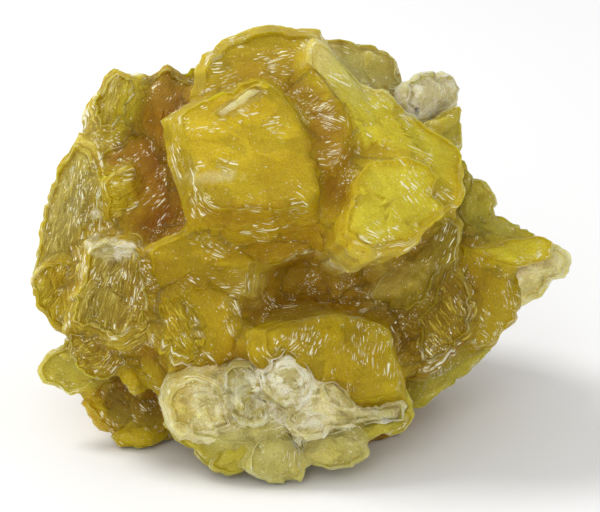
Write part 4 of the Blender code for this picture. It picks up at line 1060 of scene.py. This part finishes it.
def ramp(tree, value, low, high, to_low=0.0, to_high=1.0):
    values = {"Value": value, "From Min": low, "From Max": high, "To Min": to_low, "To Max": to_high}
    return node(tree, "ShaderNodeMapRange", values, interpolation_type="SMOOTHSTEP").outputs[0]


def blend(tree, factor, first, second, mode="MIX"):
    values = {0: factor, 6: first, 7: second}
    return node(tree, "ShaderNodeMix", values, data_type="RGBA", blend_type=mode).outputs[2]


def grain_group():
    """Plate grain from a book's own x, y and height, turned a little from patch to patch. Thin plates run
    along x on a face and are stacked on a wall, each with a level of its own. Dashes gleam here and there:
    middles of long thin cells, in crowds."""
    group = bpy.data.node_groups.new("mica_grain", "ShaderNodeTree")
    group.interface.new_socket("Local", in_out="INPUT", socket_type="NodeSocketVector")
    for label in ("Wall", "Glint", "Pale"):
        group.interface.new_socket(label, in_out="INPUT", socket_type="NodeSocketFloat")
    for label in ("Height", "Dashes", "Streaks"):
        group.interface.new_socket(label, in_out="OUTPUT", socket_type="NodeSocketFloat")
    source = node(group, "NodeGroupInput").outputs
    sink = node(group, "NodeGroupOutput")
    bend = node(group, "ShaderNodeTexNoise", {"Vector": source["Local"], "Scale": 0.2, "Detail": 2.0})
    bent = node(group, "ShaderNodeVectorMath", {0: scaled(group, bend.outputs["Color"], (1.8, 1.8, 0.4)),
                                                1: source["Local"]}, operation="ADD").outputs[0]
    patch = node(group, "ShaderNodeTexVoronoi", {"Vector": source["Local"], "Scale": 0.28})
    chance = maths(group, "SUBTRACT", split(group, patch.outputs["Color"])[0], 0.5)
    turn = maths(group, "MULTIPLY", chance, PATCH_TURN)
    turned = node(group, "ShaderNodeVectorRotate", {"Vector": bent, "Angle": turn},
                  rotation_type="Z_AXIS").outputs[0]
    x, y, z = split(group, turned)
    ringed = maths(group, "GREATER_THAN", source["Pale"], CHALK_PALE)
    radius = node(group, "ShaderNodeVectorMath", {0: bent}, operation="LENGTH").outputs["Value"]
    along = node(group, "ShaderNodeMix", {0: ringed, 2: y, 3: radius}, data_type="FLOAT").outputs[0]
    across = node(group, "ShaderNodeMix", {0: source["Wall"], 2: along, 3: z}, data_type="FLOAT").outputs[0]
    plates = [node(group, "ShaderNodeTexVoronoi", {"W": across, "Scale": pitch}, voronoi_dimensions="1D")
              for pitch in PLATE_SCALES]
    broad, thin = [split(group, cell.outputs["Color"])[0] for cell in plates]
    laid = node(group, "ShaderNodeCombineXYZ", {0: x, 1: across, 2: z})
    streaks = noise(group, scaled(group, laid.outputs[0], STREAK_SCALES), 1.0, 3.0, 0.6)
    height = maths(group, "ADD", broad, maths(group, "MULTIPLY", thin, 0.45))
    height = maths(group, "ADD", height, maths(group, "MULTIPLY", streaks, 2.0))
    crowd = ramp(group, noise(group, source["Local"], 0.34, 3.0, 0.6), 0.44, 0.62, 0.0, 0.5)
    crowd = maths(group, "ADD", crowd, maths(group, "MULTIPLY", source["Glint"], 0.15))
    dashes = None
    # Each dash is a painted glint; the material also gives it a glossy coat
    for length, width in DASH_SCALES:
        face = scaled(group, turned, (length, width, width))
        wall = scaled(group, turned, (length, length, width))
        spot = node(group, "ShaderNodeMix", {0: source["Wall"], 4: face, 5: wall},
                    data_type="VECTOR").outputs[1]
        cell = node(group, "ShaderNodeTexVoronoi", {"Vector": spot, "Scale": 1.0})
        lit, bright = split(group, cell.outputs["Color"])[:2]
        shown = ramp(group, maths(group, "ADD", maths(group, "MULTIPLY", lit, 0.4), crowd), 0.60, 0.66)
        body = ramp(group, cell.outputs["Distance"], 0.18, 0.36, 1.0, 0.0)
        painted_glint = maths(group, "MULTIPLY", maths(group, "MULTIPLY", shown, body),
                     ramp(group, bright, 0.0, 1.0, 0.35, 1.0))
        dashes = painted_glint if dashes is None else maths(group, "MAXIMUM", dashes, painted_glint)
    group.links.new(height, sink.inputs["Height"])
    group.links.new(dashes, sink.inputs["Dashes"])
    group.links.new(streaks, sink.inputs["Streaks"])
    return group


def split(tree, vector):
    return node(tree, "ShaderNodeSeparateXYZ", {0: vector}).outputs


def mica_material(grain):
    """Waxy mica that light sinks into: the book's tone, with painted shade that turns creases a deeper amber
    and a painted glow of light that turns edges that stand out paler, with clouds, thin bright dashes along
    its plates that are painted glints, pale rims on edges that are partly frayed plate edges and partly
    painted highlight, and specks."""
    material = bpy.data.materials.new("waxy_mica")
    material.use_nodes = True
    tree = material.node_tree
    shader = tree.nodes["Principled BSDF"]
    tone = node(tree, "ShaderNodeAttribute", attribute_name="tone").outputs["Vector"]
    trim = split(tree, node(tree, "ShaderNodeAttribute", attribute_name="trim").outputs["Vector"])
    shade = split(tree, node(tree, "ShaderNodeAttribute", attribute_name="shade").outputs["Vector"])
    local = node(tree, "ShaderNodeAttribute", attribute_name="local").outputs["Vector"]
    place = scaled(tree, node(tree, "ShaderNodeTexCoord").outputs["Object"], (1000.0, 1000.0, 1000.0))
    glint, wall, pale = trim
    edge, broad = shade[:2]

    marks = node(tree, "ShaderNodeGroup", node_tree=grain)
    for label, value in (("Local", local), ("Wall", wall), ("Glint", glint), ("Pale", pale)):
        tree.links.new(value, marks.inputs[label])
    waxy = maths(tree, "SUBTRACT", 1.0, maths(tree, "MULTIPLY", pale, 0.7))

    cloud = noise(tree, place, 0.20, 3.0)
    clouded = maths(tree, "MULTIPLY", ramp(tree, cloud, 0.42, 0.68, 0.0, 0.5), waxy)
    colour = blend(tree, clouded, tone, TINTS["cloud"], "MULTIPLY")
    lightened = ramp(tree, noise(tree, place, 0.65, 4.0), 0.5, 0.72, 0.0, 0.5)
    colour = blend(tree, lightened, colour, TINTS["light_cloud"], "MULTIPLY")
    # Painted shade: creases turn a deeper amber
    painted_crease_shade = maths(tree, "MULTIPLY", ramp(tree, broad, -0.1, 0.75), waxy)
    colour = blend(tree, painted_crease_shade, colour, TINTS["deep"], "MULTIPLY")
    # Painted light: edges that stand out turn a paler lemon, a glow as of light through thin mica
    thin = maths(tree, "MULTIPLY", ramp(tree, broad, -0.25, -0.8, 0.0, 0.22), waxy)
    colour = blend(tree, thin, colour, TINTS["thin"])
    combed = ramp(tree, maths(tree, "MAXIMUM", glint, pale), 0.25, 0.95, 0.10, 0.85)
    stain = noise(tree, place, 0.55, 4.0, 0.6)
    stain = maths(tree, "MULTIPLY", ramp(tree, stain, 0.44, 0.57, 0.0, 0.85), pale)
    colour = blend(tree, stain, colour, TINTS["stain"])
    dark = maths(tree, "MULTIPLY", ramp(tree, marks.outputs["Streaks"], 0.50, 0.34, 0.0, 0.8), combed)
    colour = blend(tree, dark, colour, TINTS["dark_streak"], "MULTIPLY")
    light = maths(tree, "MULTIPLY", ramp(tree, marks.outputs["Streaks"], 0.52, 0.70, 0.0, 0.75), combed)
    colour = blend(tree, light, colour, blend(tree, pale, TINTS["light_streak"], TINTS["pale_streak"]))
    sugar = ramp(tree, noise(tree, place, 5.5, 3.0, 0.7), 0.40, 0.60, 0.45, 0.0)
    colour = blend(tree, sugar, colour, TINTS["sugar"], "MULTIPLY")
    # Pale rims on edges that stand out, in patches: partly frayed plate edges, partly painted highlight
    chalk_and_sheen = noise(tree, place, 1.4, 5.0, 0.65)
    rim = maths(tree, "MULTIPLY", ramp(tree, edge, 0.2, 0.7, 0.0, 0.8), ramp(tree, chalk_and_sheen, 0.52, 0.64))
    rim = maths(tree, "MULTIPLY", rim, maths(tree, "ADD", 0.26, pale), clamp=True)
    colour = blend(tree, rim, colour, TINTS["chalk_and_sheen"])
    # Painted glints: thin near-white dashes along the plates
    colour = blend(tree, marks.outputs["Dashes"], colour, TINTS["painted_glint"])
    specks = ramp(tree, noise(tree, place, 4.0, 2.0), 0.68, 0.73, 0.0, 0.8)
    colour = blend(tree, specks, colour, TINTS["speck"])
    tree.links.new(colour, shader.inputs["Base Color"])

    rough = maths(tree, "ADD", 0.30, maths(tree, "MULTIPLY", pale, 0.2))
    rough = maths(tree, "SUBTRACT", rough, maths(tree, "MULTIPLY", marks.outputs["Dashes"], 0.12), clamp=True)
    tree.links.new(rough, shader.inputs["Roughness"])
    cells = node(tree, "ShaderNodeTexVoronoi", {"Vector": scaled(tree, local, FLAKE_SCALES), "Scale": 1.0})
    flake = split(tree, cells.outputs["Color"])[0]
    grit = maths(tree, "MULTIPLY", noise(tree, place, 3.2, 5.0, 0.7), 1.3)
    ribs = maths(tree, "ADD", maths(tree, "ADD", 0.3, glint), pale)
    grain_height = maths(tree, "MULTIPLY", marks.outputs["Height"], ribs)
    height = maths(tree, "ADD", grain_height, maths(tree, "ADD", grit, maths(tree, "MULTIPLY", flake, 0.9)))
    bump = node(tree, "ShaderNodeBump", {"Height": height, "Strength": 0.8, "Distance": BUMP_DEPTH * MM})
    tree.links.new(bump.outputs[0], shader.inputs["Normal"])
    shader.inputs["IOR"].default_value = 1.56
    shader.inputs["Specular IOR Level"].default_value = 0.18
    gloss = maths(tree, "ADD", marks.outputs["Dashes"], maths(tree, "MULTIPLY", specks, 0.6))
    gloss = maths(tree, "MULTIPLY", gloss, 0.8, clamp=True)
    tree.links.new(gloss, shader.inputs["Coat Weight"])
    shader.inputs["Coat Roughness"].default_value = 0.12
    shader.inputs["Subsurface Weight"].default_value = 0.6
    shader.inputs["Subsurface Radius"].default_value = (1.0, 0.85, 0.22)
    shader.inputs["Subsurface Scale"].default_value = LIGHT_REACH * MM
    return material


def floor_stage():
    """A broad pale floor at the resting plane."""
    half = FLOOR_HALF
    mesh = bpy.data.meshes.new("floor")
    mesh.from_pydata([(-half, -half, 0.0), (half, -half, 0.0), (half, half, 0.0), (-half, half, 0.0)], [],
                     [(0, 1, 2, 3)])
    floor = bpy.data.objects.new("floor", mesh)
    bpy.context.scene.collection.objects.link(floor)
    material = bpy.data.materials.new("pale_floor")
    material.use_nodes = True
    shader = material.node_tree.nodes["Principled BSDF"]
    shader.inputs["Base Color"].default_value = (0.93, 0.93, 0.93, 1.0)
    shader.inputs["Roughness"].default_value = 0.6
    shader.inputs["Specular IOR Level"].default_value = 0.2
    mesh.materials.append(material)


def aim(obj, target):
    obj.rotation_euler = (Vector(target) - obj.location).to_track_quat("-Z", "Y").to_euler()


def area_light(name, place, size, power):
    data = bpy.data.lights.new(name, "AREA")
    data.energy, data.size = power, size
    light = bpy.data.objects.new(name, data)
    light.location = place
    bpy.context.scene.collection.objects.link(light)
    aim(light, (0.0, 0.0, REST_HEIGHT * MM))


def studio():
    """White surroundings, a key light from the upper left and behind, and a soft fill from the front."""
    world = bpy.data.worlds.new("studio")
    world.use_nodes = True
    world.node_tree.nodes["Background"].inputs["Color"].default_value = (1.0, 1.0, 1.0, 1.0)
    world.node_tree.nodes["Background"].inputs["Strength"].default_value = WORLD_STRENGTH
    scene = bpy.context.scene
    scene.world = world
    area_light("key", KEY_PLACE, KEY_SIZE, KEY_POWER)
    area_light("fill", FILL_PLACE, FILL_SIZE, FILL_POWER)
    scene.view_settings.view_transform = "Standard"
    scene.view_settings.look = "None"
    scene.view_settings.exposure = 0.0


def camera():
    """The viewer: a long lens that looks down on the middle of the specimen."""
    data = bpy.data.cameras.new("viewer")
    data.sensor_width = SENSOR_WIDTH
    data.lens = SENSOR_WIDTH / VIEW_WIDTH * VIEW_DISTANCE
    viewer = bpy.data.objects.new("viewer", data)
    height = REST_HEIGHT + VIEW_DISTANCE * math.sin(LOOK_DOWN)
    viewer.location = (0.0, -VIEW_DISTANCE * math.cos(LOOK_DOWN) * MM, height * MM)
    viewer.rotation_euler = (math.pi / 2.0 - LOOK_DOWN, 0.0, 0.0)
    bpy.context.scene.collection.objects.link(viewer)
    bpy.context.scene.camera = viewer


def main():
    mesh = fused_skin()
    mesh.validate()
    points = fit_box(mesh)
    add_shade(mesh, points)
    add_patches(mesh, points)
    mesh.materials.clear()
    mesh.materials.append(mica_material(grain_group()))
    mesh.shade_smooth()
    mesh.set_sharp_from_angle(angle=SHARP_ANGLE)
    mesh.name = "mica_cluster"
    cluster = bpy.data.objects.new("mica_cluster", mesh)
    bpy.context.scene.collection.objects.link(cluster)
    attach(cluster, "root")
    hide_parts("lepidolite_cluster")
    floor_stage()
    studio()
    camera()


main()
